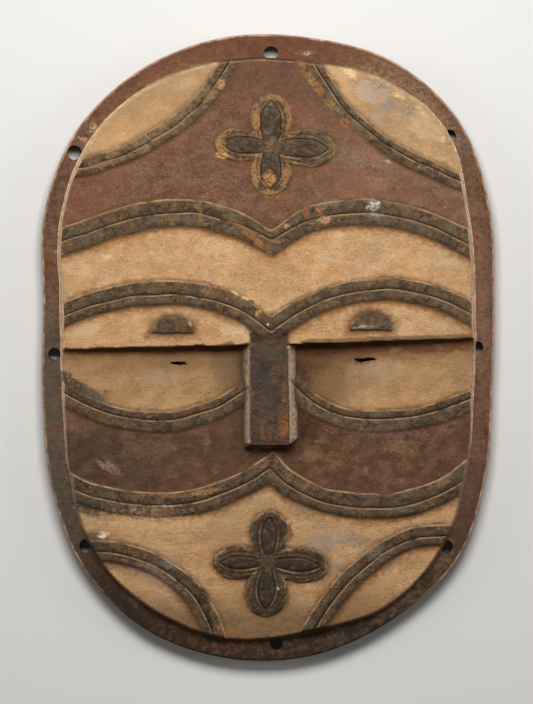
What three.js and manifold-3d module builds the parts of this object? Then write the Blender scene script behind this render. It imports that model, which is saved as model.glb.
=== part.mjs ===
// A carved and painted face mask, cut from one board. A flat rim pierced by eight tie holes frames a
// raised, domed plate. The plate's upper half overhangs the lower half at a ledge under the eyes, and
// it carries double ribs, two four-petal rosettes, half-round pupils and a bar nose. The back is
// hollowed. The mask lies on its back rim with the face up: +X is the right of someone who looks at
// the face, +Y is the forehead end and +Z points out of the face. All sizes are in millimetres.
import * as THREE from 'three';
import { mergeVertices } from 'three/addons/utils/BufferGeometryUtils.js';
import Module from 'manifold-3d';

const wasm = await Module();
wasm.setup();

// Rim: a flat flange whose outer edge is worn to a small bevel
const rimThickness = 11;
const rimEdgeWear = 1.6;
const rimOutline = [
  [-126, -25], [-121.5, -74.5], [-104.5, -121], [-70, -156.5], [-24, -173.5],
  [25.5, -172], [70.5, -151.5], [106.5, -117.5], [122, -70.5], [125.5, -21],
  [126.5, 29], [124, 78.5], [107.5, 125.5], [71.5, 159], [24, 173],
  [-25.5, 173], [-71.5, 155], [-107, 121], [-125, 75], [-125.5, 25],
];

// Plate: stands above the rim and domes up to the middle
const plateOutline = [
  [-115, -23], [-111, -69.5], [-98, -113.5], [-65.5, -146], [-23, -163],
  [23.5, -159], [67, -144.5], [98, -111], [111.5, -66.5], [115, -20.5],
  [116, 26], [112.5, 72], [100.8, 119.5], [65.5, 149.2], [20.5, 160],
  [-25.5, 160], [-69, 144.8], [-101, 113.5], [-116, 70], [-116, 23],
];
const plateHalfWidth = 117;
const plateHalfLength = 163;
const domePower = 2.4; // fullness of the dome towards the plate's edge
const plateSideSlope = 0.3; // inward lean of the plate's side for each millimetre of height
const upperEdgeAtTop = 15;
const upperEdgeAtLedge = 18.5;
const upperRise = 14; // from the plate's edge to the middle of the forehead
const lowerEdgeAtLedge = 14;
const lowerEdgeAtChin = 15.5;
const lowerRise = 9.5;
const chinSwell = 2; // extra fullness halfway down the lower face

// Ledge: the lower edge of the upper half, a little higher on the right
const ledgeMiddle = 1.6;
const ledgeTilt = 0.021;

// Tie holes through the rim, clockwise from the forehead
const tieHoleRadius = 3.6;
const tieHoles = [
  [1.7, 164.4], [101.6, 118], [116.7, -0.8], [99.9, -110.8],
  [4.7, -165.5], [-102.1, -111], [-119.2, -3.3], [-108, 108.2],
];

// Back: hollowed to a shallow bowl inside a flat rim
const backRimWidth = 17;
const hollowEdgeDepth = 4.5;
const hollowRiseUpper = 17;
const hollowRiseLower = 10;
const hollowBlend = 25; // length over which one rise turns into the other, above and below the nose

// Ribs: each pair is one line with an upper rib and a lower rib beside it. The line is the groove
// between them, a cubic curve that runs from left to right. Lines that meet above the nose or above
// the mouth run past each other and are cut off at the middle, so that they meet in a point.
const middleLine = 1.5;
const ribHeight = 2.7;
const ribRoot = 3;
const ribStep = 10; // length of one straight stretch of a rib
const ribPairs = [
  { line: [[-121, 56.5], [-71, 74], [-42, 89], [11.5, 49.5]], upper: 7.2, lower: 7.8 },
  { line: [[-6, 49.5], [30.5, 87.2], [79.5, 76.7], [118, 54.2]], upper: 7.3, lower: 6.7 },
  { line: [[-119.5, 15], [-81, 33], [-29.5, 38.5], [4, 4]], upper: 7.3, lower: 5.7 },
  { line: [[-8, 4.5], [28.5, 36.5], [77.5, 42.5], [118.5, 15.5]], upper: 6, lower: 6.2 },
  { line: [[-118, -22.5], [-85, -44], [-43, -48.5], [-10, -21.5]], upper: 4.4, lower: 7 },
  { line: [[13, -17], [30, -49], [84, -42.5], [117, -26.5]], upper: 4.4, lower: 7.2 },
  { line: [[-113, -76.5], [-74, -95.5], [-24, -92], [9.5, -62]], upper: 6.8, lower: 6.3 },
  { line: [[-1, -62], [17.5, -97], [84.5, -96.5], [111, -72.5]], upper: 7.8, lower: 5.8 },
  { line: [[-112.5, 99.3], [-80.5, 101], [-31, 128], [-20.5, 164]], upper: 5.1, lower: 5.1 },
  { line: [[22, 167.5], [41, 119.5], [74.5, 105], [119.5, 88.3]], upper: 3.8, lower: 5.2 },
  { line: [[-105, -114], [-70.5, -111], [-38, -127.5], [-29.5, -164.7]], upper: 6.2, lower: 5.2 },
  { line: [[23.5, -162.5], [37, -136], [68, -98], [104, -106]], upper: 6.4, lower: 5.3 },
];

// Nose: a bar with sloping sides, level with the forehead where it leaves the ledge
const nose = {
  top: 6, // where it runs into the brow
  bottom: -54.5,
  frontAtTop: { left: -10, right: 11.2, level: 33.5 },
  frontAtBottom: { left: -10, right: 12.3, level: 34 },
  footAtTop: { left: -17.4, right: 19.3 },
  footAtBottom: { left: -17.4, right: 22.6 },
  footLevel: 14, // sunk in the face, so that half the slope shows
  tipLean: 3, // how far the foot of the lower end stands out below the front
  chippedCorner: [15.3, -51.9], // middle of the chip's face
  chipSize: 10,
};

// Low relief on the face: pupils and petals
const reliefSink = 3; // how deep it is rooted in the face
const reliefSlope = 1.1; // how far its side leans in

// Pupils: half discs with the flat side down
const pupilRelief = 1.8;
const pupils = [
  { at: [-52.7, 8.2], halfWidth: 11.7, height: 9 },
  { at: [57.2, 9.8], halfWidth: 11.8, height: 10.4 },
];

// Eye slits, cut right through below the ledge
const slits = [
  { at: [-50, -8.8], width: 8.6, height: 1.8, turn: -0.06 },
  { at: [54, -6.8], width: 12, height: 2, turn: 0.03 },
];

// Rosettes: four petals about a middle, each with a raised lens inside a groove. A petal gives its
// turn, the distance of its middle from the rosette's middle and its half length and half width.
const petalRelief = 2.2;
const petalGrooveDepth = 1.2;
const petalHeart = 5.5; // radius of the boss where the petals meet
const rosettes = [
  {
    at: [1.7, 111.4],
    petals: [
      { turn: 90, out: 16.2, halfLength: 12, halfWidth: 10.9 },
      { turn: 0, out: 20.4, halfLength: 15.2, halfWidth: 10.6 },
      { turn: 270, out: 15.6, halfLength: 11.6, halfWidth: 11.2 },
      { turn: 180, out: 18.2, halfLength: 12.6, halfWidth: 8.9 },
    ],
  },
  {
    at: [0, -119.7],
    petals: [
      { turn: 88, out: 17.2, halfLength: 12, halfWidth: 10.5 },
      { turn: 356, out: 18.9, halfLength: 14.8, halfWidth: 9.8 },
      { turn: 270, out: 18.1, halfLength: 12.8, halfWidth: 10.6 },
      { turn: 180, out: 18, halfLength: 12.8, halfWidth: 9.2 },
    ],
  },
];

const paintedWood = new THREE.MeshStandardMaterial({ color: '#9c7450', roughness: 0.82, metalness: 0 });
const clearance = 1; // how far a cutter runs past what it cuts
const tallest = 45; // a level above everything

// Surfaces of the face and the hollow, as heights above the back rim

function dome(x, y) {
  const across = Math.abs(x / plateHalfWidth) ** domePower;
  const along = Math.abs(y / plateHalfLength) ** domePower;
  return Math.max(0, 1 - across - along);
}

function ledgeAt(x) {
  return ledgeMiddle + ledgeTilt * x;
}

function upperSurface(x, y) {
  const edge = THREE.MathUtils.lerp(upperEdgeAtLedge, upperEdgeAtTop, y / plateHalfLength);
  return edge + upperRise * dome(x, y);
}

function lowerSurface(x, y) {
  const down = THREE.MathUtils.clamp(-y / plateHalfLength, 0, 1);
  const edge = THREE.MathUtils.lerp(lowerEdgeAtLedge, lowerEdgeAtChin, down);
  return edge + (lowerRise + chinSwell * Math.sin(Math.PI * down)) * dome(x, y);
}

function faceSurface(x, y) {
  return y > ledgeAt(x) ? upperSurface(x, y) : lowerSurface(x, y);
}

function hollowSurface(x, y) {
  const upward = THREE.MathUtils.smoothstep(y, -hollowBlend, hollowBlend);
  const rise = THREE.MathUtils.lerp(hollowRiseLower, hollowRiseUpper, upward);
  return hollowEdgeDepth + rise * dome(x, y);
}

// Solids

function solid(geometry) {
  const shared = geometry.clone();
  shared.deleteAttribute('normal');
  shared.deleteAttribute('uv');
  const merged = mergeVertices(shared, 1e-4);
  return new wasm.Manifold(new wasm.Mesh({
    numProp: 3,
    vertProperties: Float32Array.from(merged.attributes.position.array),
    triVerts: Uint32Array.from(merged.index.array),
  }));
}

function geometryOf(manifold) {
  const mesh = manifold.getMesh();
  const geometry = new THREE.BufferGeometry();
  geometry.setAttribute('position', new THREE.BufferAttribute(mesh.vertProperties, 3));
  geometry.setIndex(new THREE.BufferAttribute(mesh.triVerts, 1));
  geometry.computeVertexNormals();
  return geometry;
}

function joined(solids) {
  return solids.reduce((whole, next) => whole.add(next));
}

function moveVertices(geometry, place) {
  const position = geometry.attributes.position;
  for (let i = 0; i < position.count; i += 1) {
    position.setXYZ(i, ...place(position.getX(i), position.getY(i), position.getZ(i)));
  }
  return geometry;
}

function smoothLoop(points, pointsPerSpan) {
  const corners = points.map(([x, y]) => new THREE.Vector3(x, y, 0));
  const curve = new THREE.CatmullRomCurve3(corners, true, 'catmullrom', 0.5);
  const steps = points.length * pointsPerSpan;
  return new THREE.Shape(curve.getPoints(steps).slice(0, steps).map((p) => new THREE.Vector2(p.x, p.y)));
}

// A block under a surface: the box's top follows the surface, its bottom stays flat
function blockUnder(surface, bottom, lowY, highY, columns, rows) {
  const box = new THREE.BoxGeometry(2, 1, 1, columns, rows, 1);
  return solid(moveVertices(box, (u, v, w) => {
    const x = u * (plateHalfWidth + clearance);
    const y = THREE.MathUtils.lerp(lowY(x), highY(x), v + 0.5);
    return [x, y, w > 0 ? surface(x, y) : bottom];
  }));
}

function rim() {
  const shape = smoothLoop(rimOutline, 4);
  const geometry = new THREE.ExtrudeGeometry(shape, {
    depth: rimThickness - 2 * rimEdgeWear,
    bevelThickness: rimEdgeWear,
    bevelSize: rimEdgeWear,
    bevelOffset: -rimEdgeWear,
    bevelSegments: 1,
  });
  const hole = new THREE.CylinderGeometry(tieHoleRadius, tieHoleRadius, 3 * rimThickness, 12);
  hole.rotateX(Math.PI / 2);
  const holes = tieHoles.map(([x, y]) => solid(hole.clone().translate(x, y, 0)));
  return solid(geometry.translate(0, 0, rimEdgeWear)).subtract(joined(holes));
}

function upperPlate() {
  const top = () => plateHalfLength + clearance;
  return blockUnder(upperSurface, rimThickness - clearance, ledgeAt, top, 10, 7);
}

function lowerPlate() {
  const bottom = () => -plateHalfLength - clearance;
  const overlap = (x) => ledgeAt(x) + clearance;
  return blockUnder(lowerSurface, rimThickness - clearance, bottom, overlap, 10, 7);
}

// The line of a rib pair, laid on the face
class FaceCurve extends THREE.Curve {
  constructor(points) {
    super();
    this.flat = new THREE.CubicBezierCurve(...points.map(([x, y]) => new THREE.Vector2(x, y)));
  }

  getPoint(t, target = new THREE.Vector3()) {
    const { x, y } = this.flat.getPoint(t);
    return target.set(x, y, faceSurface(x, y));
  }

  // Sections stay upright: the first axis is level and points left of the direction of travel
  computeFrenetFrames(steps) {
    const up = new THREE.Vector3(0, 0, 1);
    const tangents = Array.from({ length: steps + 1 }, (_, i) => this.getTangentAt(i / steps));
    const normals = tangents.map((tangent) => up.clone().cross(tangent).normalize());
    const binormals = tangents.map((tangent, i) => tangent.clone().cross(normals[i]));
    return { tangents, normals, binormals };
  }
}

// Both ribs in one section: steep on the upper side, rounded over and softer on the lower side
function ribSection(upper, lower) {
  const points = [
    [-lower, -ribRoot], [upper, -ribRoot], [upper, 0.55 * ribHeight],
    [0.78 * upper, ribHeight], [0.3 * upper, 0.8 * ribHeight], [0.3, 0.1 * ribHeight],
    [-0.1 * lower, 0.85 * ribHeight], [-0.55 * lower, ribHeight], [-lower, 0.4 * ribHeight],
  ];
  return new THREE.Shape(points.map(([side, height]) => new THREE.Vector2(side, height)));
}

function ribPair({ line, upper, lower }) {
  const path = new FaceCurve(line);
  const steps = Math.ceil(path.getLength() / ribStep);
  const pair = solid(new THREE.ExtrudeGeometry(ribSection(upper, lower), { extrudePath: path, steps }));
  const side = Math.sign(line[0][0] + line[3][0]);
  const half = new THREE.BoxGeometry(plateHalfLength, 3 * plateHalfLength, tallest);
  return pair.intersect(solid(half.translate(middleLine + side * plateHalfLength / 2, 0, tallest / 2)));
}

// Turns a geometry made flat at the origin to lie square on the face at a point
function laidOnFace(geometry, x, y) {
  const reach = 4;
  const slopeX = (faceSurface(x + reach, y) - faceSurface(x - reach, y)) / (2 * reach);
  const slopeY = (faceSurface(x, y + reach) - faceSurface(x, y - reach)) / (2 * reach);
  const outward = new THREE.Vector3(-slopeX, -slopeY, 1).normalize();
  const turn = new THREE.Quaternion().setFromUnitVectors(new THREE.Vector3(0, 0, 1), outward);
  return geometry.applyQuaternion(turn).translate(x, y, faceSurface(x, y));
}

// A low raised form whose side slopes in to its top
function lowRelief(shape, relief) {
  const depth = reliefSink + relief;
  const geometry = new THREE.ExtrudeGeometry(shape, { depth, bevelEnabled: false, curveSegments: 7 });
  return moveVertices(geometry, (x, y, z) => {
    const lean = z > 0 ? 1 - reliefSlope / Math.hypot(x, y) : 1;
    return [x * lean, y * lean, z - reliefSink];
  });
}

function lens(halfLength, halfWidth, Kind = THREE.Shape) {
  const shape = new Kind();
  shape.moveTo(-halfLength, 0);
  shape.quadraticCurveTo(0, -2 * halfWidth, halfLength, 0);
  shape.quadraticCurveTo(0, 2 * halfWidth, -halfLength, 0);
  return shape;
}

function petal({ halfLength, halfWidth }) {
  const outline = new THREE.Shape().absellipse(0, 0, halfLength, halfWidth, 0, 2 * Math.PI);
  const groove = lens(0.84 * halfLength, 0.6 * halfWidth);
  groove.holes.push(lens(0.66 * halfLength, 0.42 * halfWidth, THREE.Path));
  const ring = new THREE.ExtrudeGeometry(groove, { depth: 2 * petalRelief, curveSegments: 3 });
  return {
    raised: lowRelief(outline, petalRelief),
    cut: ring.translate(0, 0, petalRelief - petalGrooveDepth),
  };
}

function rosette({ at, petals }) {
  const raised = [];
  const cuts = [];
  for (const leaf of petals) {
    const angle = THREE.MathUtils.degToRad(leaf.turn);
    const x = at[0] + leaf.out * Math.cos(angle);
    const y = at[1] + leaf.out * Math.sin(angle);
    const shapes = petal(leaf);
    raised.push(solid(laidOnFace(shapes.raised.rotateZ(angle), x, y)));
    cuts.push(solid(laidOnFace(shapes.cut.rotateZ(angle), x, y)));
  }
  const heart = new THREE.Shape().absellipse(0, 0, petalHeart, petalHeart, 0, 2 * Math.PI);
  raised.push(solid(laidOnFace(lowRelief(heart, petalRelief), ...at)));
  return joined(raised).subtract(joined(cuts));
}

function pupil({ at, halfWidth, height }) {
  const half = new THREE.Shape().absellipse(0, 0, halfWidth, height, 0, Math.PI);
  return solid(laidOnFace(lowRelief(half, pupilRelief), ...at));
}

function noseBar() {
  const box = new THREE.BoxGeometry(1, 1, 1);
  const bar = moveVertices(box, (u, v, w) => {
    const front = v > 0 ? nose.frontAtTop : nose.frontAtBottom;
    const foot = v > 0 ? nose.footAtTop : nose.footAtBottom;
    const row = w > 0 ? front : foot;
    const bottom = w > 0 ? nose.bottom : nose.bottom - nose.tipLean;
    return [u > 0 ? row.right : row.left, v > 0 ? nose.top : bottom, w > 0 ? front.level : nose.footLevel];
  });
  const chip = new THREE.BoxGeometry(nose.chipSize, nose.chipSize, tallest).rotateZ(Math.PI / 4);
  const aside = nose.chipSize / 2 / Math.SQRT2;
  chip.translate(nose.chippedCorner[0] + aside, nose.chippedCorner[1] - aside, tallest);
  return solid(bar).subtract(solid(chip));
}

// The plate's side: an upright wall over its outline that leans in as it rises
function plateWall() {
  const shape = smoothLoop(plateOutline, 3);
  const geometry = new THREE.ExtrudeGeometry(shape, { depth: tallest, bevelEnabled: false });
  return solid(moveVertices(geometry, (x, y, z) => {
    const lean = 1 - (plateSideSlope * z) / Math.hypot(x, y);
    return [x * lean, y * lean, z + rimThickness - clearance];
  }));
}

function hollow() {
  const inset = (point, half) => point * (1 - backRimWidth / half);
  const points = rimOutline.map(([x, y]) => [inset(x, 126), inset(y, 175)]);
  const wall = new THREE.ExtrudeGeometry(smoothLoop(points, 3), { depth: tallest, bevelEnabled: false });
  const low = () => -plateHalfLength;
  const high = () => plateHalfLength;
  return solid(wall.translate(0, 0, -clearance))
    .intersect(blockUnder(hollowSurface, -clearance, low, high, 8, 12));
}

function eyeSlits() {
  return joined(slits.map(({ at, width, height, turn }) => {
    const cutter = new THREE.BoxGeometry(width, height, 2 * tallest).rotateZ(turn);
    return solid(cutter.translate(at[0], at[1], 0));
  }));
}

const carving = joined([
  upperPlate(), lowerPlate(), noseBar(),
  ...ribPairs.map(ribPair), ...pupils.map(pupil), ...rosettes.map(rosette),
]);
const maskSolid = rim().add(carving.intersect(plateWall())).subtract(hollow()).subtract(eyeSlits());

const face = geometryOf(maskSolid);
face.computeBoundingBox();
const middle = face.boundingBox.getCenter(new THREE.Vector3());
face.translate(-middle.x, -middle.y, 0); // the origin is below the middle of the whole mask

const mask = new THREE.Mesh(face, paintedWood);
mask.name = 'carved_mask';

const part = new THREE.Group();
part.add(mask);

export default part;
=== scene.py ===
import math

import bmesh
import bpy
import numpy as np
from mathutils import Matrix, Vector


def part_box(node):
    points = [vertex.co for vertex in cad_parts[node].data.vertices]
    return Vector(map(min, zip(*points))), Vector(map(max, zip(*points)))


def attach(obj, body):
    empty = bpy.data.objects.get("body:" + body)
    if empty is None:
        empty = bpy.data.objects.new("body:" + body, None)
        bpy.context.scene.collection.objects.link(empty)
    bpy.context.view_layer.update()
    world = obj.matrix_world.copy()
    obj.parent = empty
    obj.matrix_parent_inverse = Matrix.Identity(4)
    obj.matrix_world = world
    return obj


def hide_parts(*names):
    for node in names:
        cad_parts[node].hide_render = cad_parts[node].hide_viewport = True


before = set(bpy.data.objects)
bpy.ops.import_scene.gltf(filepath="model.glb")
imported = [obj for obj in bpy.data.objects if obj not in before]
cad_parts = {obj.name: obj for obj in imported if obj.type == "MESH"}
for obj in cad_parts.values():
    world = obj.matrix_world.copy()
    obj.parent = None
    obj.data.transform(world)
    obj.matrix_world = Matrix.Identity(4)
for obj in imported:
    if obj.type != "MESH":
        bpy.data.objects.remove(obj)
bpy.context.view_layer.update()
maskLow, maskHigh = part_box("carved_mask")

# The carving is worked out in millimetres, on the face as someone who looks at it sees it:
# x to the right, y towards the forehead, z up from the back rim.
mm = 0.001
far = 99.0  # a distance that stands for nowhere near

rim = {
    "thickness": 11,
    "edgeRound": 1.8,
    "trim": 0.9993,  # keeps the finer outline inside the solid's
    "lift": 0.01,  # keeps the back clear of the solid's
    "backEdge": 1.2,  # bevel along the back
    "outline": [
        (-126, -25), (-121.5, -74.5), (-104.5, -121), (-70, -156.5), (-24, -173.5),
        (25.5, -172), (70.5, -151.5), (106.5, -117.5), (122, -70.5), (125.5, -21),
        (126.5, 29), (124, 78.5), (107.5, 125.5), (71.5, 159), (24, 173),
        (-25.5, 173), (-71.5, 155), (-107, 121), (-125, 75), (-125.5, 25),
    ],
}

plate = {
    "outline": [
        (-115, -23), (-111, -69.5), (-98, -113.5), (-65.5, -146), (-23, -163),
        (23.5, -159), (67, -144.5), (98, -111), (111.5, -66.5), (115, -20.5),
        (116, 26), (112.5, 72), (100.8, 119.5), (65.5, 149.2), (20.5, 160),
        (-25.5, 160), (-69, 144.8), (-101, 113.5), (-116, 70), (-116, 23),
    ],
    "halfWidth": 117,
    "halfLength": 163,
    "domePower": 2.4,
    "foot": 10,  # level at which the plate's side leaves the rim
    "sideSlope": 0.25,  # inward lean for each millimetre of height
    "edgeRound": 0.7,
    "paintEdge": 4,  # how steeply the black ends at the plate's edge
    "edgeAtTop": 15,
    "edgeAboveLedge": 18.5,
    "riseAboveLedge": 14,
    "edgeBelowLedge": 14,
    "edgeAtChin": 15.5,
    "riseBelowLedge": 9.5,
    "chinSwell": 2,
}

ledge = {"middle": 1.6, "tilt": 0.021, "rightTilt": 0.01, "step": (-0.8, 0.2)}

# Each pair is one groove line, a cubic curve from left to right, with a rib above it and one below.
# The last two numbers are the ribs' widths. The two sides of a joined pair meet in a valley or a peak
# at the middle, where the ribs have the widths given first.
ribs = {
    "height": 2.6,
    "middle": 1.5,
    "joined": {
        "brow": ("valley", 4.2, 7.8,
                 ((-121, 56.5), (-71, 74), (-42, 89), (11.5, 53), 7.2, 7.8),
                 ((-6, 52.2), (30.5, 87.2), (79.5, 76.7), (118, 54.2), 7.3, 6.7)),
        "lid": ("valley", 6.2, 6.5,
                ((-119.5, 15), (-81, 33), (-29.5, 38.5), (4, 6.9), 7.3, 5.7),
                ((-8, 0.5), (28.5, 36.5), (77.5, 42.5), (118.5, 15.5), 6, 6.2)),
        "mouth": ("peak", 6.4, 6.4,
                  ((-113, -76.5), (-74, -95.5), (-24, -92), (9.5, -59.8), 6.8, 6.3),
                  ((-1, -62), (17.5, -97), (84.5, -96.5), (111, -72.5), 7.8, 5.8)),
    },
    "apart": {
        "under eye": (((-118, -22.5), (-85, -44), (-43, -48.5), (-10, -21.5), 4.4, 7),
                      ((13, -17), (30, -49), (84, -42.5), (117, -26.5), 4.4, 7.2)),
        "temple": (((-112.5, 99.3), (-80.5, 101), (-31, 128), (-20.5, 164), 5.1, 5.1),
                   ((22, 167.5), (41, 119.5), (74.5, 105), (119.5, 88.3), 3.8, 5.2)),
        "jaw": (((-105, -114), (-70.5, -111), (-38, -127.5), (-29.5, -164.7), 6.2, 5.2),
                ((23.5, -162.5), (37, -136), (68, -98), (104, -106), 6.4, 5.3)),
    },
    # sections from the groove outwards: share of a rib's width, and of its height
    "sectionAbove": [(0, 0.4), (0.08, 0.66), (0.3, 0.88), (0.75, 0.98), (0.94, 1), (1.02, 0)],
    "sectionBelow": [(0, 0.4), (0.07, 0.9), (0.15, 1), (0.6, 0.98), (0.86, 0.74), (1.03, 0.28), (1.18, 0)],
    "mitreReach": 12,  # how far from the middle a joined pair gets its own widths
    "mitreRound": 2.5,
    "lineParts": 72,  # places along a groove line that distances are taken from
    "endFade": 0.4,
    "widthWander": (0.55, 12, 20),  # in mm, the cells in which it changes, and the first pair's seed
    "heightWander": (0.16, 14, 40),  # as a share of the height
}

nose = {
    "topFade": (-1, 9),  # y over which its front runs into the brow
    "topDrop": 8,  # how far it sinks there
    "plain": ((8, 2), (-20, -10), (13, 10)),  # no ribs here: y above, y below and distance aside
    "paintTop": 16,  # how far up the front's black goes
    "paintTip": 0.5,  # how far it stays off the tip
    "bottom": -53.9,
    "frontLeft": -10,
    "frontRight": (11.2, 12.3),  # at the ledge, and at the tip
    "level": (33.5, 34),
    "footLeft": -14,
    "footRight": (15.6, 17.9),
    "footLevel": 23.5,
    "tipSlope": 3.2,
    "chip": 65.6,  # x - y along the chipped corner
    "chipSlope": 7,
    "chipAcross": 0.7,  # turns x - y into a distance from the chip
    "edgeRound": 0.8,
    "footRound": 0.6,
}

pupils = {
    "height": 1.8,
    "below": 0.4,  # how far a half disc reaches below its middle
    "edge": (-0.3, 0.7),  # where its side rises, from the outline inwards
    "asGroove": -20,  # keeps the coats of the carved lines off it
    "discs": [((-52.7, 8.2), 11.7, 9), ((57.2, 9.8), 11.8, 10.4)],
}

# Rosettes: middle, share of a petal's width that its leaf takes, how much the leaf narrows towards the
# heart, and petals as turn, distance out, half length and half width
rosettes = {
    "height": 2.2,
    "grooveDepth": 1.2,
    "heart": 5.5,
    "heartRise": (-2.5, 3),  # where its side rises, from its edge inwards
    "heartHeight": 0.9,  # share of the height
    "heartRound": 0.3,
    "heartPaint": (1.6, 3),  # how steeply its paint begins, and how far outside its edge
    "innerReach": 4,  # how much farther a petal reaches inwards than half its length
    "fullness": 1.05,
    "edge": (-0.2, 0.8),
    "lineWidth": 0.7,
    "secondLine": (2.4, 0.6, 0.5),  # a fainter one: how far outside the first, its width and its share
    "edgeShare": 0.66,  # share of the height that a petal's edge has
    "edgeBand": 3,
    "leafTip": 0.82,  # how far out on a petal its leaf ends
    "leafWidest": -1.5,  # from the petal's middle
    "lineStart": (0.2, 0.3, 1.6),  # depth inside a petal: least, and where its lines get full depth
    "noLine": 9,  # distance where there is no leaf line
    "asGroove": -3.5,
    "flowers": [
        ((1.7, 111.4), 0.5, 0.5,
         [(90, 17, 12.9, 11.3), (358, 21, 15.6, 10.5), (270, 15.6, 11.8, 11.3), (176, 18.5, 12.9, 9.4)]),
        ((0, -119.7), 0.4, 1,
         [(88, 17.2, 12, 10.5), (356, 18.9, 14.8, 9.8), (267, 17.6, 12.5, 11.8), (180, 18, 12.8, 9.2)]),
    ],
}

# Tie holes: x, y, and the hole's half width and half height
tieHoles = {
    "places": [
        (1.7, 164.4, 4.1, 3.6), (101.6, 118, 3.4, 4.0), (116.7, -0.8, 3.5, 3.7), (99.9, -110.8, 3.3, 3.7),
        (4.7, -165.5, 3.6, 3.3), (-102.1, -111, 3.2, 3.8), (-119.2, -3.3, 3.5, 3.6), (-108, 108.2, 4.0, 4.0),
    ],
    "depth": 44,
    "sides": 28,
    "lean": (3, 2.4),  # degrees at most, and by how much the lean changes from hole to hole
}

slits = {
    "cuts": [(-50, -8.8, 8.6, 1.8, -0.06), (54, -6.8, 12, 2, 0.03)],  # x, y, width, height, turn
    "level": 20,
    "depth": 80,
    "parts": 9,  # cuts across each edge, so that it can be ragged
    "narrowing": 0.6,
    "ragged": [(0.22, 2.1, 0), (0.2, 4.7, 1)],  # waves: height in mm, rate and start
}

hollow = {
    "rimWidth": 17,
    "wallSlope": 1.7,
    "edgeDepth": 4.5,
    "riseAbove": 17,
    "riseBelow": 10,
    "blend": 25,  # how far from the middle the rise changes
    "gouge": (13, 22, 0.95, 8),  # a gouge cut's width, length and depth, and the seed
    "wallRound": 2.5,
    "lowest": -2,  # keeps it clear of the flat rim's level
    "bare": (3.5, 2),  # height below which the paint ends, and the millimetres in which it does
}

meshing = {
    "faceStep": 0.55,
    "backStep": 1.7,
    "margin": 3,  # of the carved blocks, outside the outline
    "tall": 60,  # above the whole mask
    "below": -5,  # underside of the front's block
    "bowlBelow": -8,
    "headroom": 0.05,  # keeps the front below the solid's top
    "triangles": 186000,
    "sharpAngle": 50,
}

# Unevenness that the adze and the knife leave: height in mm, cells along x and y in mm, and a seed
handwork = {
    "face": [(0.22, 21, 12, 2), (0.1, 9, 3.2, 3)],
    "ledge": [(0.35, 9, 40, 1)],
    "nose": [(0.15, 6, 9, 4)],
    "plateEdge": [(0.3, 11, 11, 5)],
    "rim": [(0.12, 13, 13, 6)],
    "hollowEdge": [(0.5, 12, 12, 9)],
    "petal": [(0.35, 5, 5, 11)],
    "pupil": [(0.3, 4, 4, 12)],
}
# Sizes of the random tables, where the one of heights starts, and how far a scoop may lie off its cell
noise = {"table": (97, 89), "start": (40.3, 40.7), "scoops": (61, 67), "scoopShift": 0.4}


def roundLoop(points, perSpan=12):  # closed smooth curve through the points
    knots = np.array(points, float)
    before, after, beyond = np.roll(knots, 1, 0), np.roll(knots, -1, 0), np.roll(knots, -2, 0)
    t = (np.arange(perSpan) / perSpan)[:, None, None]
    curve = 0.5 * (2 * knots + (after - before) * t + (2 * before - 5 * knots + 4 * after - beyond) * t**2
                   + (3 * knots - before - 3 * after + beyond) * t**3)
    return curve.transpose(1, 0, 2).reshape(-1, 2)


rimLoop = roundLoop(rim["outline"])
plateLoop = roundLoop(plate["outline"])
maskMiddle = (rimLoop.min(0) + rimLoop.max(0)) / 2  # the frame's origin is the middle of the outline


def ordered(keys, values):
    order = np.argsort(keys)
    return keys[order], values[order]


def insetFrom(loop, x, y):  # how far inside a closed outline a place is, negative outside
    angle = np.arctan2(loop[:, 1], loop[:, 0])
    radius = np.hypot(loop[:, 0], loop[:, 1])
    along = np.roll(loop, -1, 0) - np.roll(loop, 1, 0)
    square = np.abs(loop[:, 0] * along[:, 1] - loop[:, 1] * along[:, 0])
    square = square / radius / np.hypot(along[:, 0], along[:, 1])
    at = np.arctan2(y, x)
    edge = np.interp(at, *ordered(angle, radius), period=2 * math.pi)
    return (edge - np.hypot(x, y)) * np.interp(at, *ordered(angle, square), period=2 * math.pi)


def softStep(low, high, value):
    t = np.clip((value - low) / (high - low), 0, 1)
    return t * t * (3 - 2 * t)


def roundedMin(a, b, size):
    h = np.clip(0.5 + 0.5 * (b - a) / size, 0, 1)
    return b + (a - b) * h - size * h * (1 - h)


def roundedMax(a, b, size):
    return -roundedMin(-a, -b, size)


def softNoise(x, y, cellX, cellY, seed):  # smooth unevenness from -1 to 1, cells in millimetres
    across, along = noise["table"]
    table = np.random.default_rng(seed).uniform(-1, 1, (across, along))
    u, v = x / cellX + noise["start"][0], y / cellY + noise["start"][1]
    i, j = np.floor(u).astype(int), np.floor(v).astype(int)
    u, v = u - i, v - j
    u, v = u * u * (3 - 2 * u), v * v * (3 - 2 * v)
    below, above = (table[i % across, row % along] * (1 - u) + table[(i + 1) % across, row % along] * u
                    for row in (j, j + 1))
    return below * (1 - v) + above * v


def uneven(name, x, y):
    return sum(height * softNoise(x, y, cellX, cellY, seed) for height, cellX, cellY, seed in handwork[name])


def gougeCuts(x, y, width, length, seed):  # overlapping scoops: 0 at a scoop's middle, 1 between scoops
    across, along = noise["scoops"]
    most = noise["scoopShift"]
    shift = np.random.default_rng(seed).uniform(-most, most, (across, along, 2))
    u, v = x / width, y / length
    i, j = np.floor(u).astype(int), np.floor(v).astype(int)
    nearest = np.full(np.shape(u), far)
    for di in (-1, 0, 1):
        for dj in (-1, 0, 1):
            middle = shift[(i + di) % across, (j + dj) % along]
            away = (u - i - di - 0.5 - middle[..., 0]) ** 2 + (v - j - dj - 0.5 - middle[..., 1]) ** 2
            nearest = np.minimum(nearest, away)
    return np.clip(nearest, 0, 1)


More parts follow.
